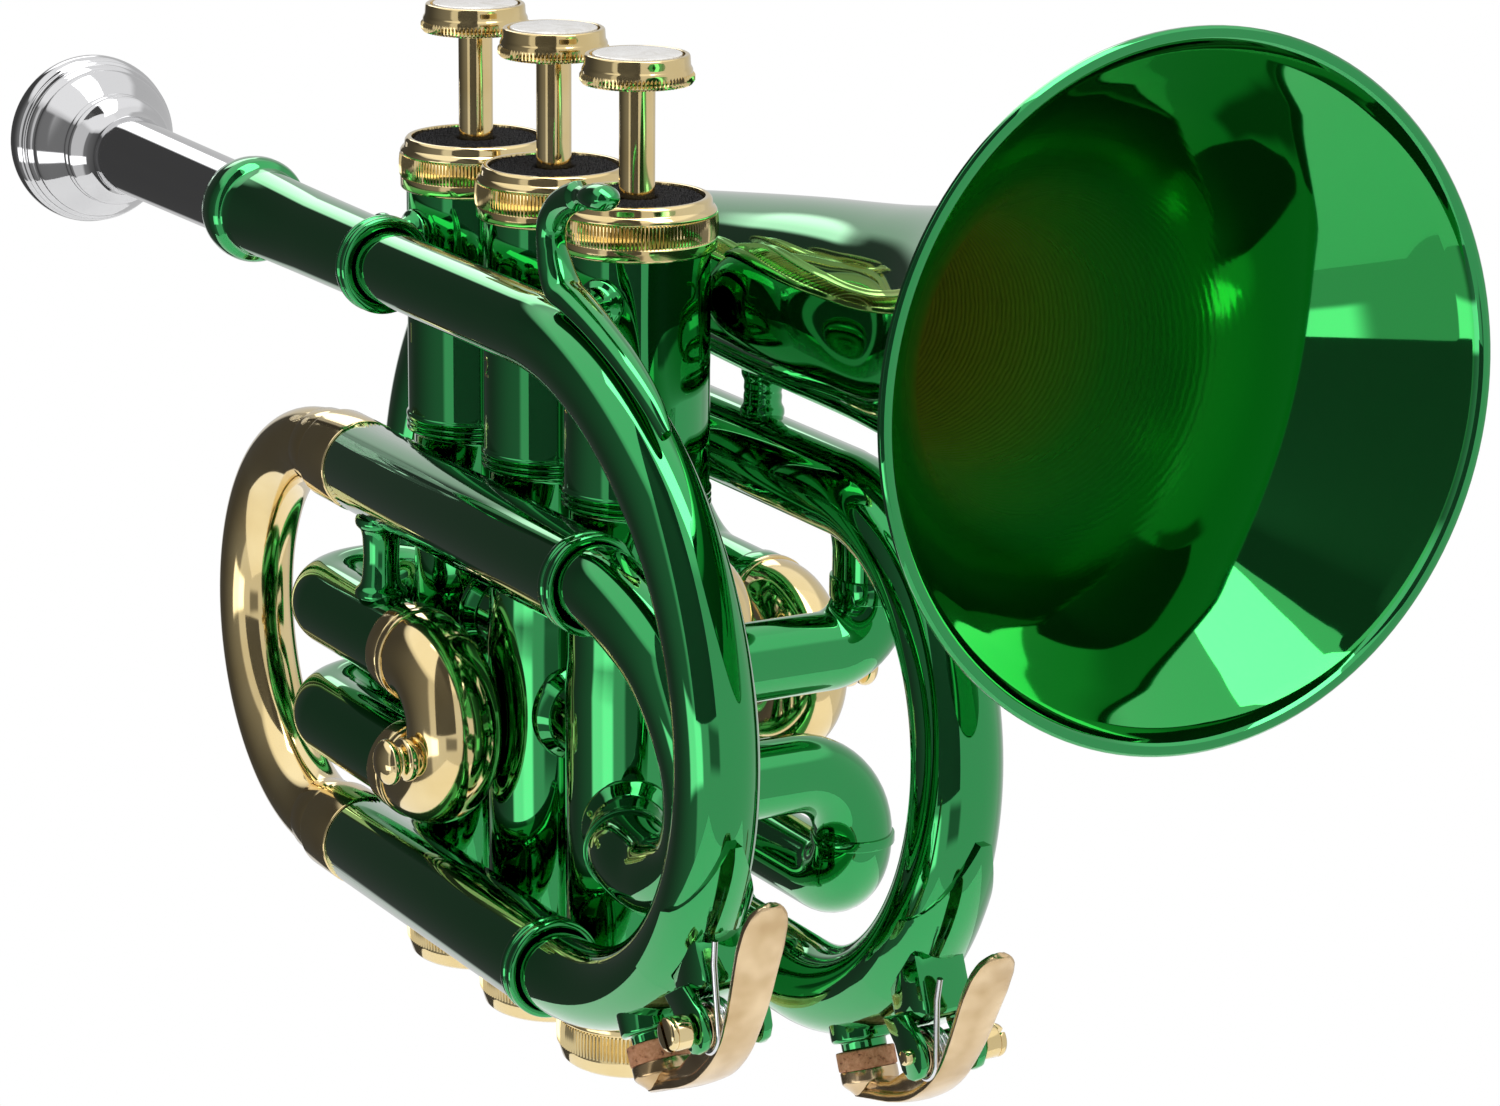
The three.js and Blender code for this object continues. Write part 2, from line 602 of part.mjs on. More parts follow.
// A pull knob: flange, neck and domed bead, turned about its axis.
function pull_knob(base, axis) {
  const k = knob;
  const h = k.shares;
  const profile = [
    [-cut_margin, 0], [-cut_margin, k.base_r], [0, k.base_r], [h.flange * k.length, k.flange_r],
    [h.flange_top * k.length, k.flange_r], [h.neck * k.length, k.neck_r], [h.neck_top * k.length, k.neck_r],
    [h.bead * k.length, k.bead_r], [h.bead_top * k.length, k.bead_r], [h.tip * k.length, k.tip_r],
    [k.length, 0],
  ];
  return turned(profile, sides.tube, base, axis);
}

// A U-shaped crook that pulls forward, with thinner inner legs, end rings and a knob on one side.
function slide_crook(top, foot, mouth_x, insert, knob_side, r, knob_drop) {
  const reach = (top.z - foot.z) / 2;
  let body = sweep(legged(top, foot, reach, mouth_x, mouth_x), r);
  [top, foot].forEach((p) => {
    body = body.add(bar(at(mouth_x - insert, p.y, p.z), at(mouth_x + cut_margin, p.y, p.z), crook.leg_r));
    body = body.add(bar(at(mouth_x, p.y, p.z), at(mouth_x + crook.ring_w, p.y, p.z), r + crook.ring_rise));
  });
  const base = at(top.x + reach, top.y, (top.z + foot.z) / 2 - knob_drop).addScaledVector(knob_side, r);
  return body.add(pull_knob(base, knob_side));
}

// Second valve slide, short, on the bell side

function make_slide_2() {
  const s = slide_2;
  let body = null;
  s.z.forEach((z) => {
    const tube = bar(at(s.x, casing.waist_r - cut_margin, z), at(s.x, s.mouth_y, z), crook.r, sides.tube)
      .subtract(valve_column(2, clear(casing.lower_r)))
      .subtract(bar(at(s.x, s.mouth_y - s.insert - gap, z), at(s.x, s.mouth_y + cut_margin, z), crook.bore,
        sides.fine));
    body = body ? body.add(tube) : tube;
  });
  const stay_y = (casing.lower_r + s.mouth_y) / 2;
  const sunk = crook.r - s.stay_sunk;
  const stay = bar(at(s.x, stay_y, s.z[0] + sunk), at(s.x, stay_y, s.z[1] - sunk), s.stay_r, sides.rod);
  piece("slide_2_sleeves", body.add(stay), "green");
  const top = at(s.x, s.bow_y, s.z[1]);
  const foot = at(s.x, s.bow_y, s.z[0]);
  const mid = at(s.x, s.bow_y + (s.z[1] - s.z[0]) / 2, (s.z[0] + s.z[1]) / 2);
  const centre = top.clone().add(foot).divideScalar(2);
  let bow = sweep(new Track([
    line(at(s.x, s.mouth_y + gap, s.z[1]), top), new Arc(centre, top, mid), new Arc(centre, mid, foot),
    line(foot, at(s.x, s.mouth_y + gap, s.z[0])),
  ]), crook.r);
  s.z.forEach((z) => {
    bow = bow.add(bar(at(s.x, s.mouth_y + gap - s.insert, z), at(s.x, s.bow_y, z), crook.leg_r));
  });
  piece("slide_2_crook", bow, "brass");
}

// Third valve slide: both tubes leave valve 3 on the bell side, turn up or down, run back and return
// forward

function make_slide_3() {
  const s = slide_3;
  const x = valve_x(3);
  ["lower", "upper"].forEach((level, i) => {
    const out = s.out_z[i];
    const inner = s.crook_z[i];
    const y = s.turn_y[i];
    const [first, second] = s.bends[i];
    const sign = Math.sign(out - s.port_z[i]);
    const path = new Track([
      run([at(x, casing.waist_r - cut_margin, s.port_z[i]), at(x, y, s.port_z[i]), at(x, y, out),
        at(s.rear_x, y, out)],
        [first, second]),
      new Bow(at(s.rear_x, y, out), at(s.rear_x, s.crook_y, inner), -Math.abs(out - inner) / 2),
      line(at(s.rear_x, s.crook_y, inner), at(s.front_x, s.crook_y, inner)),
    ]);
    let body = sweep(path, tube_r).subtract(valve_column(3, clear(casing.lower_r)));
    const collar = (from, to) => (body = body.add(bar(from, to, tube_r + s.ring_rise, sides.fine)));
    collar(at(s.front_x - crook.ferrule_w, s.crook_y, inner), at(s.front_x, s.crook_y, inner));
    const collar_z = s.port_z[i] + sign * first;
    const [ring_back, ring_ahead] = [s.ring_back_share, 1 - s.ring_back_share].map((part) =>
      sign * part * s.ring_w[i]);
    collar(at(x, y, collar_z - ring_back), at(x, y, collar_z + ring_ahead));
    const bore = bar(
      at(s.front_x - s.insert - gap, s.crook_y, inner), at(s.front_x + cut_margin, s.crook_y, inner),
        s.bore, sides.fine,
    );
    piece("slide_3_sleeve_" + level, body.subtract(bore), "green");
  });
  const top = at(s.bow_x, s.crook_y, s.crook_z[1]);
  const foot = at(s.bow_x, s.crook_y, s.crook_z[0]);
  const far_side = left.clone().negate();
  piece("slide_3_crook", slide_crook(top, foot, s.front_x + gap, s.insert, far_side, crook.r, 0), "brass");
}

// Bell, rear bow and the bow under the bell

const bell_tail = at(bell.tail_x, bell.tail_y, bell.tail_z);
const bell_axis = at(bell.rim_x, bell.rim_y, bell.rim_z).sub(bell_tail);

function make_bell() {
  const length = bell_axis.length();
  const { rim_r, bead_w, bead_edge_w, bead_drop, bead_r, wall, closed_s } = bell;
  const outside = bell_profile.filter(([s]) => s < length - bead_w);
  const rim = [
    [length - bead_w, rim_r - bead_drop], [length - bead_edge_w, rim_r], [length, rim_r],
    [length, rim_r - 2 * bead_r],
    [length - bead_w, rim_r - bead_drop - bead_r],
  ];
  const inside = outside.filter(([s]) => s > closed_s).map(([s, r]) => [s, r - wall]).reverse();
  const profile = [[0, 0], ...outside, ...rim, ...inside, [closed_s, 0]];
  piece("bell", turned(profile, sides.bell, bell_tail, bell_axis), "green");
}

function make_rear_bow() {
  const way = bell_axis.clone().normalize();
  const top = bell_tail.clone().addScaledVector(way, -gap);
  const foot = at(top.x, rear_bow.leg_y, rear_bow.leg_z);
  const path = new Track([
    new Bow(top, foot, -(top.z - foot.z) / 2, way), line(foot, at(rear_bow.front_x, foot.y, foot.z)),
  ]);
  piece("rear_bow", sweep(path, bell_profile[0][1], sides.tube, rear_bow.r), "green");
}

function make_bow_b() {
  piece("bow_b", sweep(bow_b_curve, rear_bow.r).add(nipple(frame_b)), "green");
}

function make_outlet() {
  const x = valve_x(1);
  const path = run([
    at(x, casing.waist_r - cut_margin, outlet.z), at(x, bow_b.top_y, outlet.z),
      at(x, bow_b.top_y, bow_b.top_z),
    at(bow_b.rear_x - gap, bow_b.top_y, bow_b.top_z),
  ], [outlet.bend, outlet.bend]);
  piece("outlet_tube", sweep(path, rear_bow.r).subtract(valve_column(1, clear(casing.lower_r))), "green");
}

// Finger hook on the mouthpipe

function make_hook() {
  const lift = tube_r + hook.r + gap;
  const bow = new Bow(bow_a_top, bow_a_foot, bow_a.reach);
  const rests = hook.rest_degrees.map((degrees) => {
    const p = bow.getPoint(degrees / 180);
    const way = bow.getTangent(degrees / 180);
    return at(p.x - way.z * lift, mouthpipe.y, p.z + way.x * lift);
  });
  const leave = rests[rests.length - 1];
  const free = sized(hook.free_shares, hook.height,
    hook.height).map(([x, z]) => at(leave.x + x, leave.y, leave.z + z));
  const clearance = sweep(bow_a_curve, clear(mouthpipe.r, sides.tube), sides.tube,
    clear(tube_r, sides.tube));
  const rod = sweep(smooth([...rests, ...free], hook.steps), hook.r, sides.rod);
  piece("finger_hook", rod.subtract(clearance), "green");
}

// Braces: a bar with a round foot at each end

function strut(from, to, cutters, r = brace.r) {
  const axis = to.clone().sub(from);
  const length = axis.length();
  const { foot_r, foot_h } = brace;
  let body = turned([
    [0, 0], [0, foot_r], [foot_h, foot_r], [foot_h * 2, r], [length - foot_h * 2, r],
    [length - foot_h, foot_r],
    [length, foot_r], [length, 0],
  ], sides.tube, from, axis);
  cutters.forEach((cutter) => (body = body.subtract(cutter)));
  return body;
}

// What a piece beside a tube along X is cut back by.
const beside = (rear, front, y, z, r, count = sides.fine) =>
  bar(at(rear, y, z), at(front, y, z), clear(r, count), sides.fine);

function make_mouthpipe_brace(name, n, degrees, r) {
  const z = mouthpipe.z + brace.rise;
  const hub = at(valve_x(n), 0, z);
  const way = at(Math.cos(radians(degrees)), Math.sin(radians(degrees)), 0);
  const from = hub.clone().addScaledVector(way, mouthpipe.y / way.y);
  const to = hub.clone().addScaledVector(way, casing.bore);
  const pipe_cut = beside(from.x - valve_pitch, from.x + valve_pitch, mouthpipe.y, mouthpipe.z, r);
  piece("mouthpipe_brace_" + name, strut(from, to, [pipe_cut, valve_column(n, clear(casing.upper_r))]),
    "green");
}

function make_braces() {
  make_mouthpipe_brace("rear", 1, brace.rear_turn, receiver.r);
  make_mouthpipe_brace("front", 3, brace.front_turn, tube_r);
  const leg_cut = beside(sleeve.rear_x, upper_leg.front_x, upper_leg.y, upper_leg.z, sleeve.r);
  const slide_cut = (i) => beside(slide_1.bend_x, slide_1.front_x, slide_1.y, slide_1.z[i], slide_1.r,
    sides.tube);
  const upper = at(brace.leg_x, upper_leg.y, upper_leg.z);
  piece("leg_brace", strut(upper, at(brace.leg_x, slide_1.y, slide_1.z[1]), [leg_cut, slide_cut(1)]),
    "green");
  const share = (brace.bell_x - bell.tail_x) / bell_axis.x;
  const bell_point = bell_tail.clone().addScaledVector(bell_axis, share);
  const cone = bell_profile.slice(0, bell.brace_points);
  const cone_end = cone[cone.length - 1][0];
  const cutter = [[0, 0], ...cone.map(([s, r]) => [s, clear(r, sides.bell)]), [cone_end, 0]];
  const bell_cut = turned(cutter, sides.bell, bell_tail, bell_axis);
  const leg_b_cut = beside(bow_b.rear_x, bow_b.x, bow_b.top_y, bow_b.top_z, rear_bow.r, sides.tube);
  const foot = at(brace.bell_x, bow_b.top_y, bow_b.top_z);
  piece("bell_brace", strut(bell_point, foot, [bell_cut, leg_b_cut], brace.bell_r), "green");
}

// Water keys

// A flat plate through the outline, drawn in two of the key's own directions and centred on the third.
function key_plate(f, outline, thickness, side = 0, flat = false) {
  const drawn = new THREE.Shape(outline.map(([a, o]) => new THREE.Vector2(a, o)));
  const plate = new THREE.ExtrudeGeometry(drawn, { depth: thickness, bevelEnabled: false });
  plate.translate(0, 0, side - thickness / 2);
  const basis = new THREE.Matrix4().makeBasis(f.along, flat ? left : f.out,
    flat ? f.out : left.clone().negate());
  return solid(plate.applyMatrix4(basis.setPosition(f.seat)));
}

// The band between two curves on either side of a middle line.
function band(points, thickness, count) {
  const curve = new THREE.CatmullRomCurve3(points.map(([a, o]) => at(a, o, 0)), false, "centripetal");
  const upper = [];
  const lower = [];
  for (let i = 0; i <= count; i++) {
    const p = curve.getPointAt(i / count);
    const t = curve.getTangentAt(i / count).multiplyScalar(thickness / 2);
    upper.push([p.x - t.y, p.y + t.x]);
    lower.push([p.x + t.y, p.y - t.x]);
  }
  return [...lower, ...upper.reverse()];
}

// Saddle: two posts, a strap across the bow and a tapering tongue along it.
function key_seat(f, bow_curve, bow_r, end_r, bore) {
  const k = key;
  const half = k.post_w / 2;
  const base = k.reach - k.post_lean;
  const [low, high] = [k.pivot_h - k.post_round, k.pivot_h + k.post_rise];
  const [wide, tip] = [half - k.post_cut, half - k.post_round];
  const post = [
    [base - half, 0], [base + half, 0], [k.reach + half, low], [k.reach + wide, high],
    [k.reach + tip, k.post_end],
    [k.reach - tip, k.post_end], [k.reach - wide, high], [k.reach - half, low],
  ];
  const strap = [[base - half, 0], [base + half, 0], [base + half, k.strap_out],
    [base - half, k.strap_out + k.strap_h]];
  const width = 2 * k.post_y + k.post_t;
  let seat = key_plate(f, strap, width).add(key_plate(f, post, k.post_t, k.post_y)).add(key_plate(f, post,
    k.post_t, -k.post_y));
  const reach = base + half + k.tongue;
  const outline = [[base, -k.tongue_w], [reach, -k.tongue_tip], [reach, k.tongue_tip], [base, k.tongue_w]];
  const tongue = key_plate(f, outline, k.tongue_depth, 0, true);
  const shell = (extra) => sweep(bow_curve, clear(bow_r + extra, sides.tube), sides.tube,
    clear(end_r + extra, sides.tube));
  seat = seat.add(tongue.intersect(shell(k.strap_h)));
  return seat.subtract(bore).subtract(shell(0));
}

function key_lever(f, pivot, bore) {
  const k = key;
  const across = at(0, 1, 0);
  const cup_h = k.seat_h + k.cork_h + 2 * gap;
  const line_points = sized(lever_shares, k.lever_length, k.lever_h);
  const edge = sized(leaf_shares, k.lever_length, k.leaf_w);
  const leaf = [...edge.map(([a, w]) => [a, k.leaf_y - w]),
    ...edge.reverse().map(([a, w]) => [a, k.leaf_y + w])];
  const strip = key_plate(f, band(line_points, k.lever_t, k.lever_steps), 4 * k.leaf_w);
  let body = strip.intersect(key_plate(f, leaf, k.leaf_depth, 0, true));
  const cup = turned([[0, 0], [0, k.cup_r], [k.cup_h, k.cup_r], [k.cup_h, 0]], sides.tube,
    place(f, 0, cup_h), f.out);
  const half = k.post_y - k.post_t / 2 - gap;
  const barrel = bar(pivot.clone().addScaledVector(across, -half),
    pivot.clone().addScaledVector(across, half), k.barrel_r);
  const web_top = k.pivot_h + k.web_h;
  const web = key_plate(f, [
    [k.reach - k.web_t, k.pivot_h], [k.reach + k.web_t, k.pivot_h], [k.reach + k.web_t / 2, web_top],
    [k.reach - k.web_t, web_top],
  ], k.web_t);
  return body.add(cup).add(barrel).add(web).subtract(bore);
}

function make_key(letter, f, bow_curve, bow_r, end_r) {
  const k = key;
  const across = at(0, 1, 0);
  const pivot = place(f, k.reach, k.pivot_h);
  const bore = bar(
    pivot.clone().addScaledVector(across, -k.reach), pivot.clone().addScaledVector(across, k.reach),
      k.screw_r + gap,
  );
  piece("key_" + letter + "_seat", key_seat(f, bow_curve, bow_r, end_r, bore), "green");

  const end = k.post_y + k.post_t / 2 + gap;
  const head_from = pivot.clone().addScaledVector(f.side, end);
  const head_to = head_from.clone().addScaledVector(f.side, k.screw_head_h);
  const tip = end + k.screw_tip;
  const shaft = bar(pivot.clone().addScaledVector(f.side, -tip), pivot.clone().addScaledVector(f.side, tip),
    k.screw_r);
  piece("key_" + letter + "_screw", shaft.add(bar(head_from, head_to, k.screw_head_r)), "brass");

  const cork_base = place(f, 0, k.seat_h + gap);
  piece("key_" + letter + "_cork", turned(
    [[0, 0], [0, k.cork_r], [k.cork_h, k.cork_r], [k.cork_h, 0]], sides.tube, cork_base, f.out), "cork");
  piece("key_" + letter + "_lever", key_lever(f, pivot, bore), "brass");
}

make_mouthpiece();
make_receiver();
make_mouthpipe();
leg_sleeve("upper_leg", upper_leg.y, upper_leg.z, upper_leg.front_x);
leg_sleeve("lower_leg", bow_a.leg_y, bow_a.leg_z, lower_leg.front_x);
make_tuning_crook();
make_inner_bow();
valves.forEach((n) => {
  make_casing(n);
  make_bottom_cap(n);
  make_top_cap(n);
  make_felt(n);
  make_piston(n);
  make_button(n);
  make_spring(n);
});
make_slide_1();
make_slide_2();
make_slide_3();
make_bell();
make_rear_bow();
make_bow_b();
make_outlet();
make_hook();
make_braces();
make_key("a", frame_a, bow_a_curve, mouthpipe.r, tube_r);
make_key("b", frame_b, bow_b_curve, rear_bow.r, rear_bow.r);

export default root;
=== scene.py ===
# %% [markdown]
# # A pocket trumpet in green lacquer
# A pocket trumpet is a full length of brass tubing wound into a small body round three piston valves.
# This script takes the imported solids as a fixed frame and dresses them: each plain faceted solid gets a
# smooth piece in its place, drawn from the same sizes, and each finish becomes a node material.
# The frame comes first, because every piece made later rides on one of its bodies.

import json
from math import cos, pi, radians, sin, sqrt

import bmesh
import bpy
from mathutils import Matrix, Vector, noise


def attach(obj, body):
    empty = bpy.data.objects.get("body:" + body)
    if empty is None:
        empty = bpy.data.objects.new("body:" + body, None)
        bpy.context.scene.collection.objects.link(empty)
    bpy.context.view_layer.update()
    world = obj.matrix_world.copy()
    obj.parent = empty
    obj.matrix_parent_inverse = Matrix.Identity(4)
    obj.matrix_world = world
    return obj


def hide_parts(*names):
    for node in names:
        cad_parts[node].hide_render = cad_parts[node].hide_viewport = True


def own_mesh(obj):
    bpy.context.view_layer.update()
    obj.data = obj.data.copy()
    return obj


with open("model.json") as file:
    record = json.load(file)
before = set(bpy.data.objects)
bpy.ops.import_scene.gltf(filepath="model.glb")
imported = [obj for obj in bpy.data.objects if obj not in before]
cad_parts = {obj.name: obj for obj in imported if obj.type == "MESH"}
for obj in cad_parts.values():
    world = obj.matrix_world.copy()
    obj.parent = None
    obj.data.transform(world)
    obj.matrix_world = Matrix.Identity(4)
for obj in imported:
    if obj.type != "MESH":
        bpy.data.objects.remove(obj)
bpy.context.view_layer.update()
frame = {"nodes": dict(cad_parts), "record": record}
noise.seed_set(1)  # the fibres of the felts lie the same way each time

# %% [markdown]
# ## Finishes
# Coloured lacquer on brass is a clear tinted film over polished metal. The metal's reflection takes the
# tint, and the film's own surface adds a thin white one at the edges. So the green is a metallic shader
# with a clear coat. The tint could be painted as a dull green under a coat, but then the dark
# reflections that make lacquered tubes look deep would be missing.

# %% One function per kind of finish
def new_finish(name, colour, metal, rough, coat=0.0):
    """A material with one shader, whose even values sit on its own sockets."""
    made = bpy.data.materials.new(name)
    made.use_nodes = True
    shader = made.node_tree.nodes["Principled BSDF"]
    shader.inputs["Base Color"].default_value = (*colour, 1)
    shader.inputs["Metallic"].default_value = metal
    shader.inputs["Roughness"].default_value = rough
    shader.inputs["Coat Weight"].default_value = coat
    shader.inputs["Coat Roughness"].default_value = 0.02
    shader.inputs["Coat IOR"].default_value = 1.6
    return made, made.node_tree, shader


def pattern(tree, kind, scale, **settings):
    """A texture node that reads Object coordinates, so that it stays put on its piece."""
    place = tree.nodes.new("ShaderNodeTexCoord")
    texture = tree.nodes.new(kind)
    tree.links.new(place.outputs["Object"], texture.inputs["Vector"])
    texture.inputs["Scale"].default_value = scale
    for socket, value in settings.items():
        texture.inputs[socket].default_value = value
    return texture


def ramped(tree, source, stops, target):
    """Turns a texture's value into a colour, or one number into a grey, on the way to a socket."""
    ramp = tree.nodes.new("ShaderNodeValToRGB")
    band = ramp.color_ramp
    while len(band.elements) < len(stops):
        band.elements.new(0.5)
    for element, (place, colour) in zip(band.elements, stops):
        element.position = place
        element.color = (*colour, 1) if isinstance(colour, tuple) else (colour, colour, colour, 1)
    tree.links.new(source, ramp.inputs["Fac"])
    tree.links.new(ramp.outputs["Color"], target)


def raised(tree, source, shader, strength, depth):
    """Lets a texture's value stand up as a fine relief."""
    bump = tree.nodes.new("ShaderNodeBump")
    bump.inputs["Strength"].default_value = strength
    bump.inputs["Distance"].default_value = depth
    tree.links.new(source, bump.inputs["Height"])
    tree.links.new(bump.outputs["Normal"], shader.inputs["Normal"])


# %% Lacquer, brass and plate
def green_lacquer():
    made, tree, shader = new_finish("green_lacquer", (0.003, 0.34, 0.07), 1, 0.035, 0.85)
    waves = pattern(tree, "ShaderNodeTexNoise", 60, Detail=1.0, Roughness=0.4)
    raised(tree, waves.outputs["Fac"], shader, 0.05, 0.0004)
    return made


def polished_brass():
    made, tree, shader = new_finish("polished_brass", (0.84, 0.67, 0.33), 1, 0.08, 0.5)
    cloud = pattern(tree, "ShaderNodeTexNoise", 90, Detail=3.0, Roughness=0.5)
    ramped(tree, cloud.outputs["Fac"], [(0.3, (0.79, 0.6, 0.27)), (0.7, (0.88, 0.71, 0.37))],
           shader.inputs["Base Color"])
    return made


def cast_brass():
    made, tree, shader = new_finish("cast_brass", (0.78, 0.6, 0.35), 1, 0.2, 0.3)
    waves = pattern(tree, "ShaderNodeTexNoise", 160, Detail=2.0, Roughness=0.5)
    ramped(tree, waves.outputs["Fac"], [(0.32, (0.55, 0.38, 0.19)), (0.68, (0.8, 0.61, 0.37))],
           shader.inputs["Base Color"])
    raised(tree, waves.outputs["Fac"], shader, 0.35, 0.0009)
    return made


def bright_plate():
    return new_finish("bright_plate", (0.66, 0.66, 0.67), 1, 0.05)[0]


def satin_valve_metal():
    return new_finish("satin_valve_metal", (0.6, 0.57, 0.5), 1, 0.22)[0]


def bright_wire():
    return new_finish("bright_wire", (0.75, 0.76, 0.78), 1, 0.14)[0]


# %% [markdown]
# Felt, cork and shell are the soft accents. Felt is a tangle of fibres, so a fine noise roughens it and
# a little sheen catches light at its rim. Cork has dark pits here and there, which a ramp cuts out of a
# noise. Shell is pale and clouded.

# %% Felt, cork and shell
def black_felt():
    made, tree, shader = new_finish("black_felt", (0.012, 0.012, 0.014), 0, 0.95)
    shader.inputs["Sheen Weight"].default_value = 0.05
    shader.inputs["Sheen Roughness"].default_value = 0.5
    shader.inputs["Specular IOR Level"].default_value = 0.1
    fibre = pattern(tree, "ShaderNodeTexNoise", 1400, Detail=6.0, Roughness=0.75)
    ramped(tree, fibre.outputs["Fac"], [(0.35, (0.002, 0.002, 0.003)), (0.72, (0.035, 0.033, 0.035))],
           shader.inputs["Base Color"])
    raised(tree, fibre.outputs["Fac"], shader, 0.9, 0.0006)
    return made


def natural_cork():
    made, tree, shader = new_finish("natural_cork", (0.45, 0.2, 0.09), 0, 0.8)
    cells = pattern(tree, "ShaderNodeTexNoise", 900, Detail=5.0, Roughness=0.7)
    ramped(tree, cells.outputs["Fac"],
           [(0.34, (0.12, 0.04, 0.018)), (0.44, (0.5, 0.22, 0.1)), (0.68, (0.68, 0.36, 0.2))],
           shader.inputs["Base Color"])
    raised(tree, cells.outputs["Fac"], shader, 0.7, 0.0004)
    return made


def clouded_shell():
    made, tree, shader = new_finish("clouded_shell", (0.82, 0.8, 0.72), 0, 0.12, 0.6)
    cloud = pattern(tree, "ShaderNodeTexNoise", 260, Detail=3.0, Roughness=0.6, Distortion=1.5)
    ramped(tree, cloud.outputs["Fac"],
           [(0.3, (0.55, 0.52, 0.46)), (0.5, (0.66, 0.64, 0.61)), (0.7, (0.74, 0.73, 0.71))],
           shader.inputs["Base Color"])
    return made


# %% [markdown]
# The inside of the bell is lacquered too, but deep in the throat the film is thin, and the spun brass
# shows through as an olive gold with fine rings from the spinning lathe. The rings follow the distance
# from the bell's axis and the colour follows the distance along it, so both are worked out from Object
# coordinates. A painted image could do it as well, but it would have to be unwrapped.

# %% The inside of the bell
BELL_TAIL = Vector((-40.5, 24.5, 110.5))
BELL_MOUTH = Vector((130.2, 25.0, 120.3))


def bell_lining():
    made, tree, shader = new_finish("bell_lining", (0.003, 0.34, 0.05), 1, 0.05, 0.6)
    nodes, links = tree.nodes, tree.links
    place = nodes.new("ShaderNodeTexCoord")
    along = nodes.new("ShaderNodeMapping")
    along.vector_type = "TEXTURE"
    along.inputs["Location"].default_value = BELL_TAIL * 0.001
    turn = Vector((1, 0, 0)).rotation_difference(BELL_MOUTH - BELL_TAIL)
    along.inputs["Rotation"].default_value = turn.to_euler()
    links.new(place.outputs["Object"], along.inputs["Vector"])
    parts = nodes.new("ShaderNodeSeparateXYZ")
    links.new(along.outputs["Vector"], parts.inputs["Vector"])
    depth = nodes.new("ShaderNodeMapRange")
    depth.inputs["From Min"].default_value = 0.05
    depth.inputs["From Max"].default_value = 0.152
    links.new(parts.outputs["X"], depth.inputs["Value"])
    ramped(tree, depth.outputs["Result"], [(0, (0.7, 0.6, 0.08)), (0.45, (0.4, 0.52, 0.05)),
                                           (0.72, (0.04, 0.45, 0.045)), (1, (0.003, 0.34, 0.05))],
           shader.inputs["Base Color"])
    ramped(tree, depth.outputs["Result"], [(0, 0.4), (0.65, 0.28), (0.95, 0.04)],
           shader.inputs["Roughness"])
    ramped(tree, depth.outputs["Result"], [(0, 0.2), (0.6, 0.4), (0.95, 1)], shader.inputs["Metallic"])
    rings = nodes.new("ShaderNodeTexWave")
    rings.wave_type = "BANDS"
    rings.bands_direction = "X"
    rings.inputs["Scale"].default_value = 300
    rings.inputs["Distortion"].default_value = 2.5
    rings.inputs["Detail"].default_value = 3
    rings.inputs["Detail Scale"].default_value = 2
    links.new(along.outputs["Vector"], rings.inputs["Vector"])
    depth_of_rings = nodes.new("ShaderNodeMath")
    depth_of_rings.operation = "MULTIPLY"
    links.new(rings.outputs["Fac"], depth_of_rings.inputs[0])
    ramped(tree, depth.outputs["Result"], [(0, 1), (0.95, 0)], depth_of_rings.inputs[1])
    raised(tree, depth_of_rings.outputs["Value"], shader, 0.6, 0.0002)
    return made


FINISH = {
    "green": green_lacquer(), "brass": polished_brass(), "cast": cast_brass(), "chrome": bright_plate(),
    "valve_metal": satin_valve_metal(), "steel": bright_wire(), "felt": black_felt(),
    "cork": natural_cork(), "pearl": clouded_shell(), "lining": bell_lining(),
}
print("finishes", sorted(FINISH))

# %% [markdown]
# The solids that stay visible take the same finishes. Their slot names come from the record, so the
# finish is simply put in each node's own slot.

# %% Dress the solids
SLOT_OF = {s["node"]: s["material_slot"] for s in frame["record"]["subparts"]}
for name, node in frame["nodes"].items():
    node.data.materials.clear()
    node.data.materials.append(FINISH[SLOT_OF[name]])

# %% [markdown]
# ## Tools for round pieces
# Nearly all of a trumpet is either turned on a lathe or bent from tube. A turned piece is an outline
# that is spun about an axis. A bent tube is a circle that is extruded from station to station of a path.
# Both are drawn in millimetres and scaled to metres once, when the piece is finished.

# %% Finish a piece
MM = 0.001
X, Y, Z = Vector((1, 0, 0)), Vector((0, 1, 0)), Vector((0, 0, 1))
faces_made = {}


def finish_piece(bm, name, body, finish, replaces=(), sharp=32, clean=0.002):
    """Closes seams, turns faces outwards, scales to metres and puts the piece on its body."""
    bmesh.ops.remove_doubles(bm, verts=bm.verts, dist=clean)
    bmesh.ops.dissolve_degenerate(bm, edges=bm.edges, dist=clean / 4)
    bmesh.ops.recalc_face_normals(bm, faces=bm.faces)
    bmesh.ops.scale(bm, vec=(MM, MM, MM), verts=bm.verts)
    mesh = bpy.data.meshes.new(name)
    bm.to_mesh(mesh)
    bm.free()
    mesh.polygons.foreach_set("use_smooth", [True] * len(mesh.polygons))
    mesh.set_sharp_from_angle(angle=radians(sharp))
    finishes = [finish] if isinstance(finish, str) else finish
    for each in finishes:
        mesh.materials.append(FINISH[each])
    piece = bpy.data.objects.new(name, mesh)
    bpy.context.scene.collection.objects.link(piece)
    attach(piece, body)
    if replaces:
        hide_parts(*replaces)
    faces_made[name] = len(mesh.polygons)
    print(name, faces_made[name], "faces")
    return piece


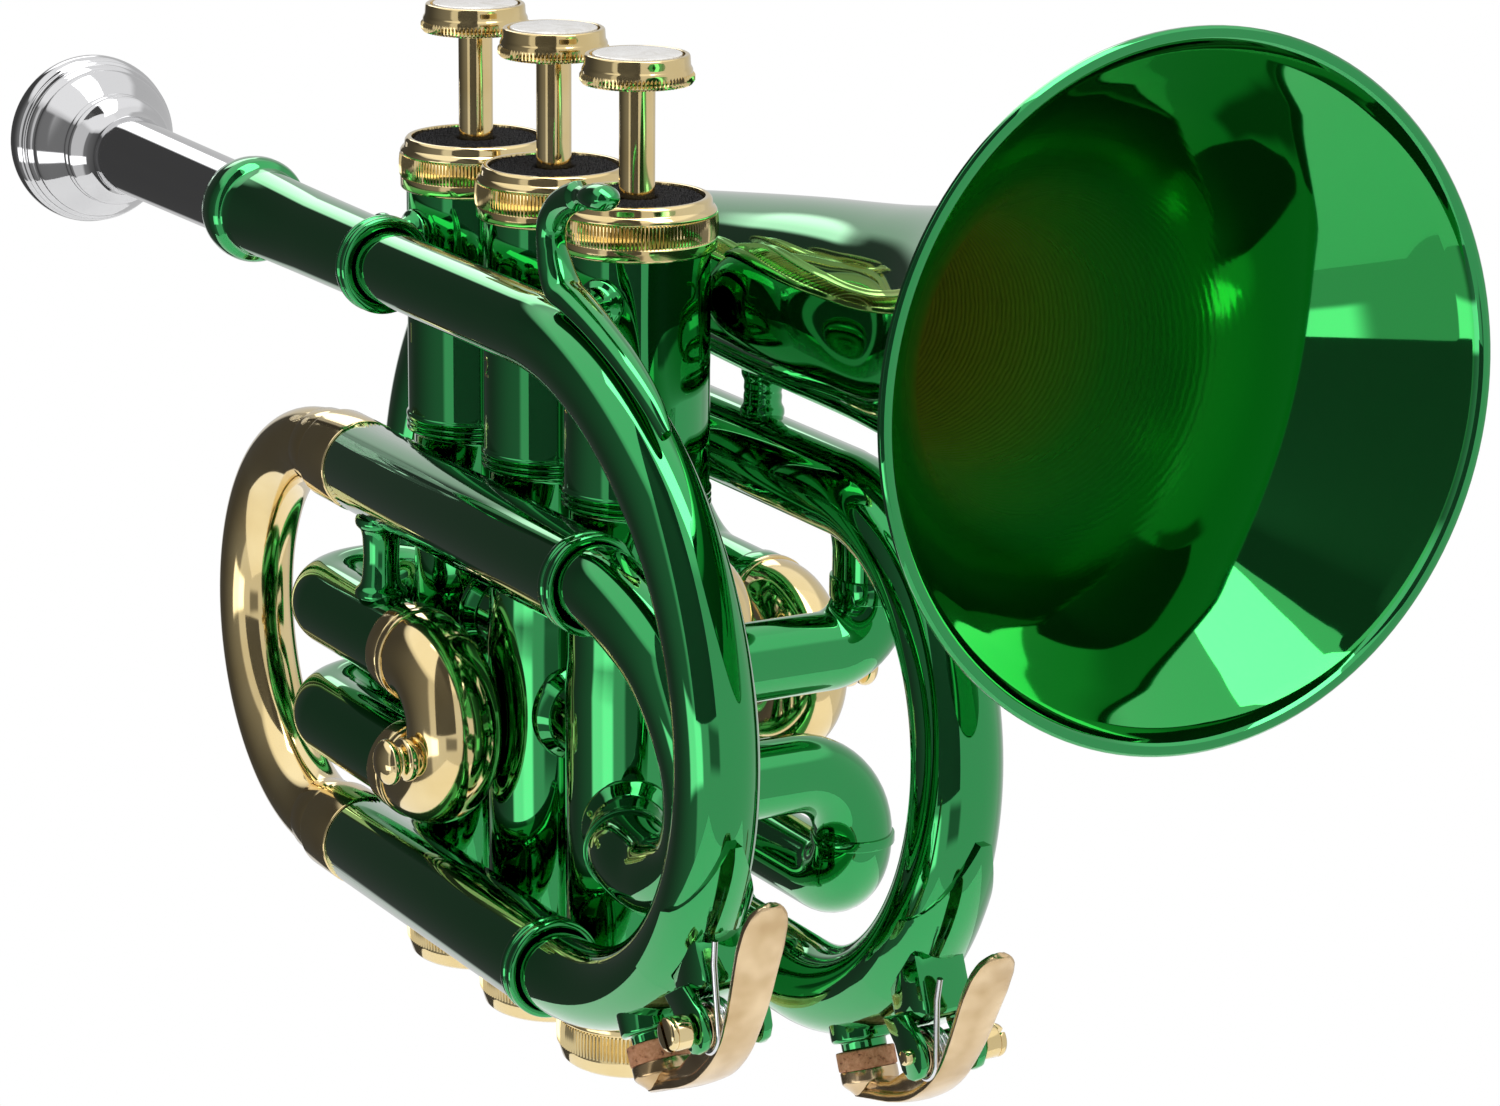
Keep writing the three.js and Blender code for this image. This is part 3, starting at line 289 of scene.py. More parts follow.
# %% Turn a profile
def softened(profile, reach=0.25):
    """Rounds each corner of an outline, because a real edge always catches a line of light."""
    points = [Vector(p) for p in profile]
    line = [points[0]]
    for before, corner, after in zip(points, points[1:], points[2:]):
        back, ahead = before - corner, after - corner
        if back.length < 1e-6 or ahead.length < 1e-6:
            continue
        if back.angle(ahead) > radians(166):
            line.append(corner)
            continue
        start = corner + back.normalized() * min(reach, back.length * 0.45)
        end = corner + ahead.normalized() * min(reach, ahead.length * 0.45)
        line += [start, (start + 2 * corner + end) / 4, end]
    return line + [points[-1]]


def aimed(origin, direction):
    """Takes the Z axis of a drawing to a direction, and its origin to a point."""
    turn = Z.rotation_difference(Vector(direction).normalized())
    return Matrix.Translation(origin) @ turn.to_matrix().to_4x4()


def turn_on(bm, profile, origin, direction, soft=0.25, around=64, closed=False):
    """Spins an outline of (along, radius) points about an axis, like work on a lathe."""
    outline = softened([*profile, *profile[:2]], soft)[1:-1] if closed else softened(profile, soft)
    before = len(bm.verts)
    line = [bm.verts.new((p.y, 0, p.x)) for p in outline]
    pairs = zip(line, line[1:] + line[:1]) if closed else zip(line, line[1:])
    edges = [bm.edges.new(pair) for pair in pairs]
    bmesh.ops.spin(bm, geom=line + edges, cent=(0, 0, 0), axis=(0, 0, 1), dvec=(0, 0, 0), angle=2 * pi,
                   steps=around, use_merge=True, use_normal_flip=False, use_duplicate=False)
    made = bm.verts[:][before:]
    bmesh.ops.transform(bm, matrix=aimed(origin, direction), verts=made)


def ring_on(bm, start, end, inner, outer, origin, direction):
    """A plain ring between two places on an axis."""
    turn_on(bm, [(start, inner), (start, outer), (end, outer), (end, inner)], origin, direction, soft=0.2,
            closed=True)


def turned_piece(name, profile, origin, direction, body, finish, replaces=(), **how):
    bm = bmesh.new()
    turn_on(bm, profile, origin, direction, **how)
    finish_piece(bm, name, body, finish, replaces)


# %% Paths for tubes
def straight(a, b):
    return [Vector(a), Vector(b)]


def arc(centre, a, b, steps=14):
    """The round arc about a centre from a to b."""
    centre, a, b = Vector(centre), Vector(a), Vector(b)
    axis = (a - centre).cross(b - centre)
    whole = (a - centre).angle(b - centre)
    return [centre + Matrix.Rotation(whole * i / steps, 3, axis) @ (a - centre) for i in range(steps + 1)]


def bow(top, foot, reach, steps=48, ways=(X, X)):
    """Half an ellipse from top to foot that bulges by reach."""
    top, foot = Vector(top), Vector(foot)
    middle, half = (top + foot) / 2, (top - foot) / 2
    path = []
    for i in range(steps + 1):
        angle, way = pi * i / steps, ways[0].lerp(ways[1], i / steps)
        path.append(middle + half * cos(angle) + way * reach * sin(angle))
    return path


def cornered(points, radii):
    """Straight runs through the points, each corner bent to its own radius."""
    points = [Vector(p) for p in points]
    path = [points[0]]
    for before, corner, after, radius in zip(points, points[1:], points[2:], radii):
        back, ahead = (before - corner).normalized(), (after - corner).normalized()
        half = back.angle(ahead) / 2
        reach = radius * cos(half) / sin(half)
        centre = corner + (back + ahead).normalized() * radius / sin(half)
        path += arc(centre, corner + back * reach, corner + ahead * reach)
    return path + [points[-1]]


def flowing(points, steps=12):
    """A smooth curve through points, spaced by the square root of their distance."""
    points = [Vector(p) for p in points]
    whole = [2 * points[0] - points[1], *points, 2 * points[-1] - points[-2]]
    path = []
    for a, b, c, d in zip(whole, whole[1:], whole[2:], whole[3:]):
        t0, t1 = 0, sqrt((b - a).length)
        t2 = t1 + sqrt((c - b).length)
        t3 = t2 + sqrt((d - c).length)
        for i in range(steps):
            t = t1 + (t2 - t1) * i / steps
            ab = a.lerp(b, (t - t0) / (t1 - t0))
            bc = b.lerp(c, (t - t1) / (t2 - t1))
            cd = c.lerp(d, (t - t2) / (t3 - t2))
            ac, bd = ab.lerp(bc, (t - t0) / (t2 - t0)), bc.lerp(cd, (t - t1) / (t3 - t1))
            path.append(ac.lerp(bd, (t - t1) / (t2 - t1)))
    return path + [points[-1]]


def joined(*paths):
    """Paths end to end, without the doubled points."""
    line = []
    for point in (p for path in paths for p in path):
        if not line or (point - line[-1]).length > 1e-4:
            line.append(point)
    return line


# %% Extrude a tube along a path
def frames_along(path, first_side=None):
    """A turned frame at each station, which never twists about the path."""
    ways = [(b - a).normalized() for a, b in zip(path, path[1:])]
    ways = [ways[0]] + [(a + b).normalized() for a, b in zip(ways, ways[1:])] + [ways[-1]]
    side = Vector(first_side) if first_side else (Z if abs(ways[0].z) < 0.9 else Y)
    frames = []
    for point, way in zip(path, ways):
        side = (side - way * side.dot(way)).normalized()
        turn = Matrix((side, way.cross(side), way)).transposed().to_4x4()
        frames.append(Matrix.Translation(point) @ turn)
    return frames


def edges_of(ring):
    """The edges of a ring of points, each once and always in the same order."""
    return list(dict.fromkeys(e for v in ring for e in v.link_edges))


def run_tube(bm, path, radius, around=48, capped=True, first_side=None):
    """Extrudes a circle along a path. Radius is one number, one per station, or (wide, thick) pairs."""
    sizes = radius if isinstance(radius, list) else [radius] * len(path)
    shapes = [Matrix.Diagonal((*(r if isinstance(r, tuple) else (r, r)), 1, 1)) for r in sizes]
    stations = [f @ s for f, s in zip(frames_along(path, first_side), shapes)]
    ring = bmesh.ops.create_circle(bm, cap_ends=False, radius=1, segments=around)["verts"]
    edges = edges_of(ring)
    ends = list(edges)
    bmesh.ops.transform(bm, matrix=stations[0], verts=ring)
    for old, new in zip(stations, stations[1:]):
        grown = bmesh.ops.extrude_edge_only(bm, edges=edges)["geom"]
        ring = [g for g in grown if isinstance(g, bmesh.types.BMVert)]
        edges = [g for g in grown if isinstance(g, bmesh.types.BMEdge) and all(v in ring for v in g.verts)]
        bmesh.ops.transform(bm, matrix=new @ old.inverted(), verts=ring)
    if capped:
        bmesh.ops.holes_fill(bm, edges=ends + edges, sides=0)


def eased(path, start, end, first=0, last=None):
    """Radii that run evenly from start to end between two stations of a path."""
    last = len(path) - 1 if last is None else last
    return [start + (end - start) * min(1, max(0, (i - first) / (last - first))) for i in range(len(path))]


# %% [markdown]
# Tubes meet, so several pieces share the same axes. These are named once, in millimetres.

# %% Axes that pieces share
PITCH = 25.85
VALVE_X = {1: -PITCH, 2: 0.0, 3: PITCH}
PIPE = PIPE_Y, PIPE_Z = -22.3, 115.2
UPPER_LEG, LOWER_LEG = (-17.8, 80.0), (-18.5, 19.8)
UPPER_B, LOWER_B = (24.0, 88.1), (18.0, 15.1)
BOW_A = {"x": 36.0, "reach": 50.9, "top": PIPE, "foot": LOWER_LEG, "seat": 148.0}
BOW_B = {"x": 44.9, "reach": 35.8, "top": UPPER_B, "foot": LOWER_B, "seat": 157.2}
STEPS_PER_DEGREE = 4


def level_way(degrees):
    """A level direction, by its angle from X."""
    return Vector((cos(radians(degrees)), sin(radians(degrees)), 0))


# %% [markdown]
# ## Mouthpiece and receiver
# The mouthpiece is one turned piece of plated brass: a rounded rim, a cup with decorative beads outside,
# and a long taper that plugs into the receiver. The receiver is the thicker end of the mouthpipe, with
# a rolled bulb at its mouth and a ring where the pipe slides in.

# %% Mouthpiece
MOUTH_X, SHANK_X = -129.5, -41.0
shank = SHANK_X - MOUTH_X
mouth_profile = [
    (9, 5.4), (5, 7.4), (1.6, 8.2), (0.5, 9), (0.1, 10.6), (0, 11.6), (0.35, 12.9), (1.2, 13.7), (2.4, 14),
    (4, 14), (4.9, 13.6), (5.2, 13.2), (5.5, 13.2), (5.8, 13.5), (6.2, 13.4), (6.5, 12.9), (6.9, 13.05),
    (7.4, 12.8), (8.2, 12.1), (8.6, 12.3), (9, 12.25), (11, 10.9), (13.5, 8.9), (13.9, 9.25), (14.4, 9.2),
    (14.9, 8.8), (15.3, 9.1), (15.9, 9), (16.6, 8.2), (18, 7), (20, 6.3), (22, 6.45), (25.5, 6.2),
    (shank - 21.7, 5.8), (shank, 5.25), (shank, 3.9), (34, 2.6), (16, 1.9), (12.5, 2.6),
]
turned_piece("mouthpiece_turned", mouth_profile, (MOUTH_X, *PIPE), X, "mouthpiece", "chrome",
             ("mouthpiece",), soft=0.5, around=96, closed=True)

# %% Receiver
RECEIVER_X, RING_END = -62.7, -10.1
end = RING_END - RECEIVER_X
receiver_profile = [
    (0, 6.15), (0, 7.0), (0.6, 7.5), (2.2, 8.0), (3.6, 8.25), (5.2, 8.25), (6.4, 7.9), (7.0, 7.3),
    (7.3, 6.9), (8.7, 6.7), (9.2, 6.6), (30, 6.35), (end - 4.6, 6.2), (end - 3.4, 6.2), (end - 3.0, 6.9),
    (end - 2.6, 7.3), (end - 1.9, 7.3), (end - 1.7, 7.0), (end - 1.3, 7.0), (end - 1.1, 7.3),
    (end - 0.3, 7.25), (end, 6.8), (end, 5.72), (24, 5.72), (22.5, 5.7),
]
turned_piece("receiver_turned", receiver_profile, (RECEIVER_X, *PIPE), X, "main", "green",
             ("receiver",), soft=0.3, closed=True)

# %% [markdown]
# ## The outer tubing
# The mouthpipe runs forward past the valves and turns down through a wide bow that is higher than it is
# deep, so half an ellipse fits it better than half a circle. A circle is extruded along that path. The
# water nipple under the bow is a short turned stub with a flange.

# %% Mouthpipe, its bow and nipple
def bow_of(b, steps=72):
    return bow((b["x"], *b["top"]), (b["x"], *b["foot"]), b["reach"], steps)


def key_frame(b):
    """Seat point on the bow's centre line, and the key's own axes: along, across and out."""
    path = bow_of(b, 180 * STEPS_PER_DEGREE)
    i = round(b["seat"] * STEPS_PER_DEGREE)
    way = path[i + 1] - path[i - 1]
    along = -Vector((way.x, 0, way.z)).normalized()
    out = Vector((along.z, 0, -along.x))
    return Matrix.Translation(path[i]) @ Matrix((along, Y, out)).transposed().to_4x4()


KEY_A, KEY_B = key_frame(BOW_A), key_frame(BOW_B)
nipple_profile = [(2, 0), (2, 4.6), (7.0, 4.6), (7.4, 4.3), (7.4, 3.3), (8.7, 3.3), (8.7, 1.6), (7.6, 1.6),
                  (7.6, 0)]


def add_nipple(bm, key):
    turn_on(bm, nipple_profile, key.translation, key.to_3x3() @ Z, around=40)


mouthpipe_path = joined(straight((-36.7, *PIPE), (BOW_A["x"], *PIPE)), bow_of(BOW_A),
                        straight((BOW_A["x"], *LOWER_LEG), (33.1, *LOWER_LEG)))
bm = bmesh.new()
run_tube(bm, mouthpipe_path, eased(mouthpipe_path, 5.45, 6.0, 1, 60))
add_nipple(bm, KEY_A)
finish_piece(bm, "mouthpipe_tube", "main", "green", ("mouthpipe",))

# %% Slide legs with their end rings and brass ferrules
for level, place, front in (("upper", UPPER_LEG, 46.9), ("lower", LOWER_LEG, 36.1)):
    leg = [(-28.7, 6.35), (-28.7, 7), (front - 3.4, 7), (front - 3.2, 7.35), (front - 2.2, 7.35),
           (front - 2.0, 7.1), (front - 1.5, 7.1), (front - 1.3, 7.4), (front - 0.3, 7.4), (front, 7.0),
           (front, 6.35)]
    turned_piece(level + "_leg_tube", leg, (0, *place), X, "main", "green", (level + "_leg_sleeve",),
                 closed=True)
    ferrule = [(-38, 6.35), (-38, 7.0), (-37.7, 7.15), (-29.2, 7.15), (-29, 7.0), (-29, 6.35)]
    turned_piece(level + "_leg_ferrule_turned", ferrule, (0, *place), X, "main", "brass",
                 (level + "_leg_ferrule",), soft=0.12, closed=True)

# %% [markdown]
# ## Slides
# Each slide is a U of brass that pulls out of two green tubes. The tuning slide at the rear is the
# biggest. A slide's thin inner legs stay hidden until it is pulled, so they are part of the moving piece.

# %% Tuning slide
CROOK_X, INSERTED_X, CROOK_REACH = -42.1, -8, 28.3
crook_path = joined(straight((INSERTED_X, *UPPER_LEG), (CROOK_X, *UPPER_LEG)),
                    bow((CROOK_X, *UPPER_LEG), (CROOK_X, *LOWER_LEG), -CROOK_REACH, 64),
                    straight((CROOK_X, *LOWER_LEG), (INSERTED_X, *LOWER_LEG)))
bm = bmesh.new()
run_tube(bm, crook_path, 5.9)
for place in (UPPER_LEG, LOWER_LEG):
    turn_on(bm, [(-43.6, 5.7), (-43.6, 6.2), (-38.3, 6.45), (-38.3, 5.7)], (0, *place), X, soft=0.2)
finish_piece(bm, "tuning_slide_bow", "tuning_slide", "brass", ("tuning_crook",))

# %% A pull knob, shared by the slides
knob_profile = [(-2, 0), (-2, 2.4), (0, 2.6), (0.1, 3.1), (0.5, 3.3), (1.3, 3.3), (1.7, 3.0), (2.0, 2.2),
                (2.5, 2.0), (2.8, 2.6), (3.1, 3.3), (3.7, 3.5), (4.3, 3.4), (4.9, 2.9), (5.3, 2.2),
                (5.6, 1.3), (5.8, 0)]


def slide_bow(body, top, foot, mouth_x, insert, knob_way, radius, knob_drop=0):
    """A U-shaped crook with thin legs, end rings and a knob."""
    reach = (top[2] - foot[2]) / 2
    path = joined(straight((mouth_x, *top[1:]), top), bow(top, foot, reach, 48),
                  straight(foot, (mouth_x, *foot[1:])))
    bm = bmesh.new()
    run_tube(bm, path, radius)
    for _, y, z in (top, foot):
        run_tube(bm, straight((mouth_x - insert, y, z), (mouth_x + 2, y, z)), 5.6)
        turn_on(bm, [(0, 5), (0, radius + 0.3), (1.3, radius + 0.3), (1.3, 5)], (mouth_x, y, z), X,
                soft=0.2)
    base = Vector((top[0] + reach, top[1], (top[2] + foot[2]) / 2 - knob_drop)) + Vector(knob_way) * radius
    turn_on(bm, knob_profile, base, knob_way, around=40)
    finish_piece(bm, body + "_bow", body, "brass", (body + "_crook",))


# %% First valve slide
LOW_1, HIGH_1, SLIDE_1_Y = 37.0, 55.2, -18
for level, z in (("lower", LOW_1), ("upper", HIGH_1)):
    near, rear, far = (-39.2, 0, z), (-48.2, SLIDE_1_Y / 2, z), (-39.2, SLIDE_1_Y, z)
    bend = (-39.2, SLIDE_1_Y / 2, z)
    path = joined(straight((-34.2, 0, z), near), arc(bend, near, rear, 20), arc(bend, rear, far, 20),
                  straight(far, (-13.8, SLIDE_1_Y, z)))
    bm = bmesh.new()
    run_tube(bm, path, 6.4)
    turn_on(bm, [(0, 6.3), (0, 7.4), (0.5, 7.3), (1.4, 6.6), (2.2, 6.4), (2.2, 6.2)], (-35.2, 0, z), -X,
            soft=0.2)
    finish_piece(bm, "slide_1_tube_" + level, "main", "green", ("slide_1_sleeve_" + level,))
    ring = [(-13.5, 5.9), (-13.5, 7.1), (-13.3, 7.3), (-10.2, 7.3), (-10, 7.1), (-10, 5.9)]
    turned_piece("slide_1_ring_" + level, ring, (0, SLIDE_1_Y, z), X, "main", "brass",
                 ("slide_1_ferrule_" + level,), soft=0.12, closed=True)
slide_bow("slide_1", (-6.9, SLIDE_1_Y, HIGH_1), (-6.9, SLIDE_1_Y, LOW_1), mouth_x=-9.7, insert=14,
          knob_way=-Y, radius=7.1, knob_drop=2.9)

# %% Second valve slide
LOW_2, HIGH_2, CROOK_2_Y = 47.5, 64.5, 18.8
bm = bmesh.new()
for z in (LOW_2, HIGH_2):
    run_tube(bm, straight((0, 9, z), (0, 14.6, z)), 6.3)
    ring_on(bm, 14.4, 16.6, 5.9, 6.75, (0, 0, z), Y)
turn_on(bm, [(53.3, 0), (53.3, 2), (58.7, 2), (58.7, 0)], (0, 13.4, 0), Z, around=24)
finish_piece(bm, "slide_2_tubes", "main", "green", ("slide_2_sleeves",))
bm = bmesh.new()
run_tube(bm, joined(straight((0, 16.9, HIGH_2), (0, CROOK_2_Y, HIGH_2)),
                    bow((0, CROOK_2_Y, HIGH_2), (0, CROOK_2_Y, LOW_2), 8.5, 40, (Y, Y)),
                    straight((0, CROOK_2_Y, LOW_2), (0, 16.9, LOW_2))), 6.3)
for z in (LOW_2, HIGH_2):
    run_tube(bm, straight((0, 11.9, z), (0, CROOK_2_Y, z)), 5.6)
finish_piece(bm, "slide_2_bow", "slide_2", "brass", ("slide_2_crook",))

# %% [markdown]
# The third valve slide is the long one. Both its tubes leave the valve towards the bell side, turn down
# or up, run back under and over the other slides and return forward to the crook.

# %% Third valve slide
THIRD = {  # port z, turn y, bends, outer z, inner z, ring width
    "lower": (39.8, 37.3, (11.0, 8.6), 20.0, 36.3, 1.6),
    "upper": (58.2, 40.0, (8.4, 8.4), 80.9, 55.3, 3.4),
}
SLIDE_3_Y, BEND_3_X = 45, -31
for level, (port, y, bends, outer, inner, width) in THIRD.items():
    x, way = VALVE_X[3], 1 if outer > port else -1
    path = joined(cornered([(x, 9, port), (x, y, port), (x, y, outer), (BEND_3_X, y, outer)], bends),
                  bow((BEND_3_X, y, outer), (BEND_3_X, SLIDE_3_Y, inner), -abs(outer - inner) / 2, 40),
                  straight((BEND_3_X, SLIDE_3_Y, inner), (-17.3, SLIDE_3_Y, inner)))
    bm = bmesh.new()
    run_tube(bm, path, 6.0)
    ring_on(bm, -width / 4, width * 3 / 4, 5.5, 6.4, (x, y, port + way * bends[0]), Z * way)
    ring_on(bm, -17.5, -14, 5.7, 6.45, (0, SLIDE_3_Y, inner), X)
    turn_on(bm, [(10.2, 5.8), (10.2, 7.1), (10.8, 7.0), (11.8, 6.3), (12.8, 6.0), (12.8, 5.8)],
            (x, 0, port), Y, soft=0.2)
    finish_piece(bm, "slide_3_tube_" + level, "main", "green", ("slide_3_sleeve_" + level,))
slide_bow("slide_3", (-11, SLIDE_3_Y, THIRD["upper"][4]), (-11, SLIDE_3_Y, THIRD["lower"][4]),
          mouth_x=-13.7, insert=16, knob_way=Y, radius=6.3)

# %% Inner bow from the upper leg into the third valve
port, port_way = Vector((VALVE_X[3], 0, 38.9)), level_way(-30.7)
inner_path = flowing([(43.9, *UPPER_LEG), (52, *UPPER_LEG), (67, -16.6, 73), (73, -14.6, 60),
                      (69, -12.9, 47),
                      (58, -12.6, 39.8), port + port_way * 21, port + port_way * 9.6])
bm = bmesh.new()
run_tube(bm, inner_path, 6.0)
turn_on(bm, [(10.1, 5.6), (10.1, 7.4), (10.7, 7.3), (11.9, 6.5), (13.2, 6.0), (13.2, 5.6)], port, port_way,
        soft=0.2)
ring_on(bm, 19.5, 21, 5.8, 6.5, port, port_way)
finish_piece(bm, "inner_bow_tube", "main", "green", ("inner_bow",))

# %% [markdown]
# ## Valves
# A valve is a green casing closed by two brass caps. The caps have a band of fine knurling to grip, so
# a fluted band is bridged between circles whose every second point is drawn in. That is cheap, and unlike
# a bump it also roughens the outline. Three fine rings stand above the waist of each casing.

# %% A knurled band
def knurl_on(bm, z0, z1, radius, ridges, depth, centre, bulge=0.0):
    """A band of fine upright ridges round a cap or button, a little fuller at its middle."""
    rows = []
    for z, r, fluted in ((z0, radius - 0.9, 0), (z0, radius - bulge, 1), (z0 * 0.7 + z1 * 0.3, radius, 1),
                         (z0 * 0.3 + z1 * 0.7, radius, 1), (z1, radius - bulge, 1), (z1, radius - 0.9, 0)):
        ring = bmesh.ops.create_circle(bm, cap_ends=False, radius=r, segments=ridges * 2)["verts"]
        if fluted:
            bmesh.ops.scale(bm, vec=(1 - depth / r, 1 - depth / r, 1), verts=ring[1::2])
        rows.append(edges_of(ring))
        bmesh.ops.translate(bm, vec=Vector(centre) + Z * z, verts=ring)
    for low, high in zip(rows, rows[1:]):
        bmesh.ops.bridge_loops(bm, edges=low + high)


# %% Casings with the knuckles between them
CASING_R = 10.6
casing_profile = [
    (3.4, 8.6), (3.4, 10.3), (58, 10.3), (62, 9.9), (84.2, 9.7), (84.7, 9.8), (85.2, 10.9), (85.8, 10.9),
    (86.0, 10.4), (86.2, 10.9), (86.7, 10.9), (86.9, 10.4), (87.1, 10.9), (87.7, 10.9), (88.0, CASING_R),
    (126.2, CASING_R), (126.2, 8.6),
]
KNUCKLES = {1: (58.2, -0.6), 2: (49.2, -1.2)}
for n, x in VALVE_X.items():
    bm = bmesh.new()
    turn_on(bm, casing_profile, (x, 0, 0), Z, around=96, closed=True, soft=0.2)
    if n in KNUCKLES:
        z, y = KNUCKLES[n]
        run_tube(bm, straight((x + 9.2, y, z), (x + 16.6, y, z)), 6.0)
        turn_on(bm, [(9.2, 5.9), (9.2, 7.5), (10.6, 7.3), (11.5, 6.6), (12.4, 6.2), (12.4, 5.9)], (x, y, z),
                X, closed=True)
    finish_piece(bm, "casing_tube_%d" % n, "main", "green", ("casing_%d" % n,))

# %% Caps, felts, stems and buttons
bottom_cap = [(0, 0), (0, 10.2), (0.5, 10.8), (2.2, 11.3), (2.6, 11.35), (6.6, 11.35), (6.8, 11.6),
              (7.8, 11.6), (8, 11.4), (8, 10.6), (3.1, 10.6), (3.1, 0)]
top_cap = [(122.5, 10.9), (122.5, 11.2), (122.8, 11.5), (124.3, 11.5), (124.5, 11.3), (127.7, 11.3),
           (127.9, 11.5), (128.3, 11.5), (128.8, 11.15), (129.0, 10.9), (129.9, 10.75), (130.3, 10.4),
           (130.3, 9.75), (127.2, 9.7), (127.2, 3.1), (126.5, 3.1), (126.5, 10.9)]
felt_ring = [(127.5, 2.95), (127.5, 9.5), (129.8, 9.5), (130.15, 9.1), (130.25, 6), (130.2, 3.3),
             (129.9, 2.95)]
stem_bar = [(100, 0), (100, 2.58), (146.3, 2.58), (146.3, 0)]
button_disc = [(147.1, 0), (147.1, 2.8), (146.2, 2.8), (146.2, 7.3), (146.5, 7.9), (148.0, 7.9),
               (148.4, 7.9), (148.9, 7.6), (149.6, 7.55), (150.3, 7.5), (150.5, 7.3), (150.5, 6.75),
               (149.5, 6.7), (149.5, 0)]
FELT_TOP, FIBRES, GOLDEN_ANGLE = 129.95, 650, 2.399963
pearl_disc = [(149.75, 0), (149.75, 6.4), (150.5, 6.4), (150.6, 6.2), (150.68, 4.5), (150.74, 2.5),
              (150.75, 0)]
for n, x in VALVE_X.items():
    centre, valve = (x, 0, 0), "valve_%d" % n
    bm = bmesh.new()
    turn_on(bm, bottom_cap, centre, Z, around=96, soft=0.2)
    knurl_on(bm, 2.7, 6.5, 11.68, 120, 0.42, centre, 0.1)
    finish_piece(bm, "bottom_cap_turned_%d" % n, "main", "brass", ("bottom_cap_%d" % n,), clean=0.001)
    bm = bmesh.new()
    turn_on(bm, top_cap, centre, Z, around=96, soft=0.15, closed=True)
    knurl_on(bm, 124.55, 127.75, 11.68, 130, 0.42, centre, 0.1)
    finish_piece(bm, "top_cap_turned_%d" % n, "main", "brass", ("top_cap_%d" % n,), clean=0.001)
    bm = bmesh.new()
    turn_on(bm, felt_ring, centre, Z, around=128, closed=True, soft=0.3)
    bmesh.ops.subdivide_edges(bm, edges=[e for e in bm.edges if e.calc_length() > 1.2], cuts=4)
    for v in bm.verts:
        if v.co.z > 129.5:
            v.co.z += 0.14 * noise.noise(v.co * 1.9) - 0.1
    for i in range(FIBRES):
        angle, r = i * GOLDEN_ANGLE, 3.4 + 5.7 * sqrt((i + 0.5) / FIBRES)
        lean = noise.noise_vector(Vector((i * 0.73, n * 7.1, 0.3))) * 1.3 + Z * 0.75
        root = Vector((x + r * cos(angle), r * sin(angle), FELT_TOP))
        bmesh.ops.create_cone(bm, segments=3, radius1=0.07, radius2=0.02, depth=1.1,
                              matrix=aimed(root, lean))
    finish_piece(bm, "felt_ring_%d" % n, "main", "felt", ("felt_%d" % n,))
    turned_piece("stem_%d" % n, stem_bar, centre, Z, valve, "brass", (), around=48)
    bm = bmesh.new()
    turn_on(bm, button_disc, centre, Z, around=80, soft=0.2)
    knurl_on(bm, 146.3, 148.1, 8.2, 84, 0.4, centre, 0.4)
    finish_piece(bm, "button_turned_%d" % n, valve, "brass", ("button_%d" % n,), clean=0.001)
    turned_piece("pearl_turned_%d" % n, pearl_disc, centre, Z, valve, "pearl", ("pearl_%d" % n,), soft=0.1)

# %% [markdown]
# ## Bell
# The bell is spun brass: a long cone that opens into the flare, with its edge rolled over a wire. The
# outline goes out along the outside, round the bead and back along the inside, so one spin makes both
# walls. The inner wall gets the lining finish: its faces are the ones that point toward the axis.

# %% Bell with its rolled rim
WALL, LINING_START = 0.9, 15
outside = [(0, 8.3), (20, 9.4), (45, 11.7), (72, 14), (102, 16.2), (122, 19), (136, 23), (147, 28.3),
           (156, 34.4), (163, 40.2), (168, 44.8)]
bell_axis = BELL_MOUTH - BELL_TAIL
length = bell_axis.length
flare = [Vector((p.x, p.y)) for p in flowing([(s, r, 0) for s, r in outside], 12)]
walls = []
for before, here, after in zip(flare, flare[1:], flare[2:]):
    way = (after - before).normalized()
    walls.append(here + Vector((way.y, -way.x)) * WALL)
bead = [(length - 1.6, 46.1), (length - 1.5, 46.6), (length - 1.1, 46.85), (length - 0.5, 46.85),
        (length - 0.1, 46.5), (length, 46.0), (length - 0.1, 45.4), (length - 0.5, 45.0),
        (length - 1.1, 44.7)]
profile = [(0, 0), *flare, *bead, *[w for w in reversed(walls) if w.x > LINING_START], (LINING_START, 0)]
bm = bmesh.new()
turn_on(bm, profile, BELL_TAIL, bell_axis, around=144, soft=0.05)
way = bell_axis.normalized()
bm.normal_update()
bmesh.ops.recalc_face_normals(bm, faces=bm.faces)
for face in bm.faces:
    middle = face.calc_center_median() - BELL_TAIL
    s = middle.dot(way)
    spoke = middle - way * s
    if LINING_START + 0.2 < s < length - WALL and face.normal.dot(spoke.normalized()) < 0.05:
        face.material_index = 1
finish_piece(bm, "bell_spun", "main", ["green", "lining"], ("bell",))

# %% Rear bow, the bow under the bell and the outlet tube
top = BELL_TAIL - way * 0.3
foot = Vector((top.x, *LOWER_B))
rear_path = joined(bow(top, foot, -(top.z - foot.z) / 2, 72, (way, X)), straight(foot, (20, *LOWER_B)))
bm = bmesh.new()
run_tube(bm, rear_path, eased(rear_path, 8.3, 6.45))
for x in (-33, 18.2):
    ring_on(bm, 0, 1.6, 6.3, 7.1, (x, *LOWER_B), X)
finish_piece(bm, "rear_bow_tube", "main", "green", ("rear_bow",))
bell_bow_path = joined(straight((-8, *UPPER_B), (BOW_B["x"], *UPPER_B)), bow_of(BOW_B),
                       straight((BOW_B["x"], *LOWER_B), (20.3, *LOWER_B)))
bm = bmesh.new()
run_tube(bm, bell_bow_path, 6.45)
add_nipple(bm, KEY_B)
finish_piece(bm, "bell_bow_tube", "main", "green", ("bow_b",))
x, y = VALVE_X[1], UPPER_B[0]
outlet_path = cornered([(x, 8, 60), (x, y, 60), (x, *UPPER_B), (-8.3, *UPPER_B)], (9, 9))
bm = bmesh.new()
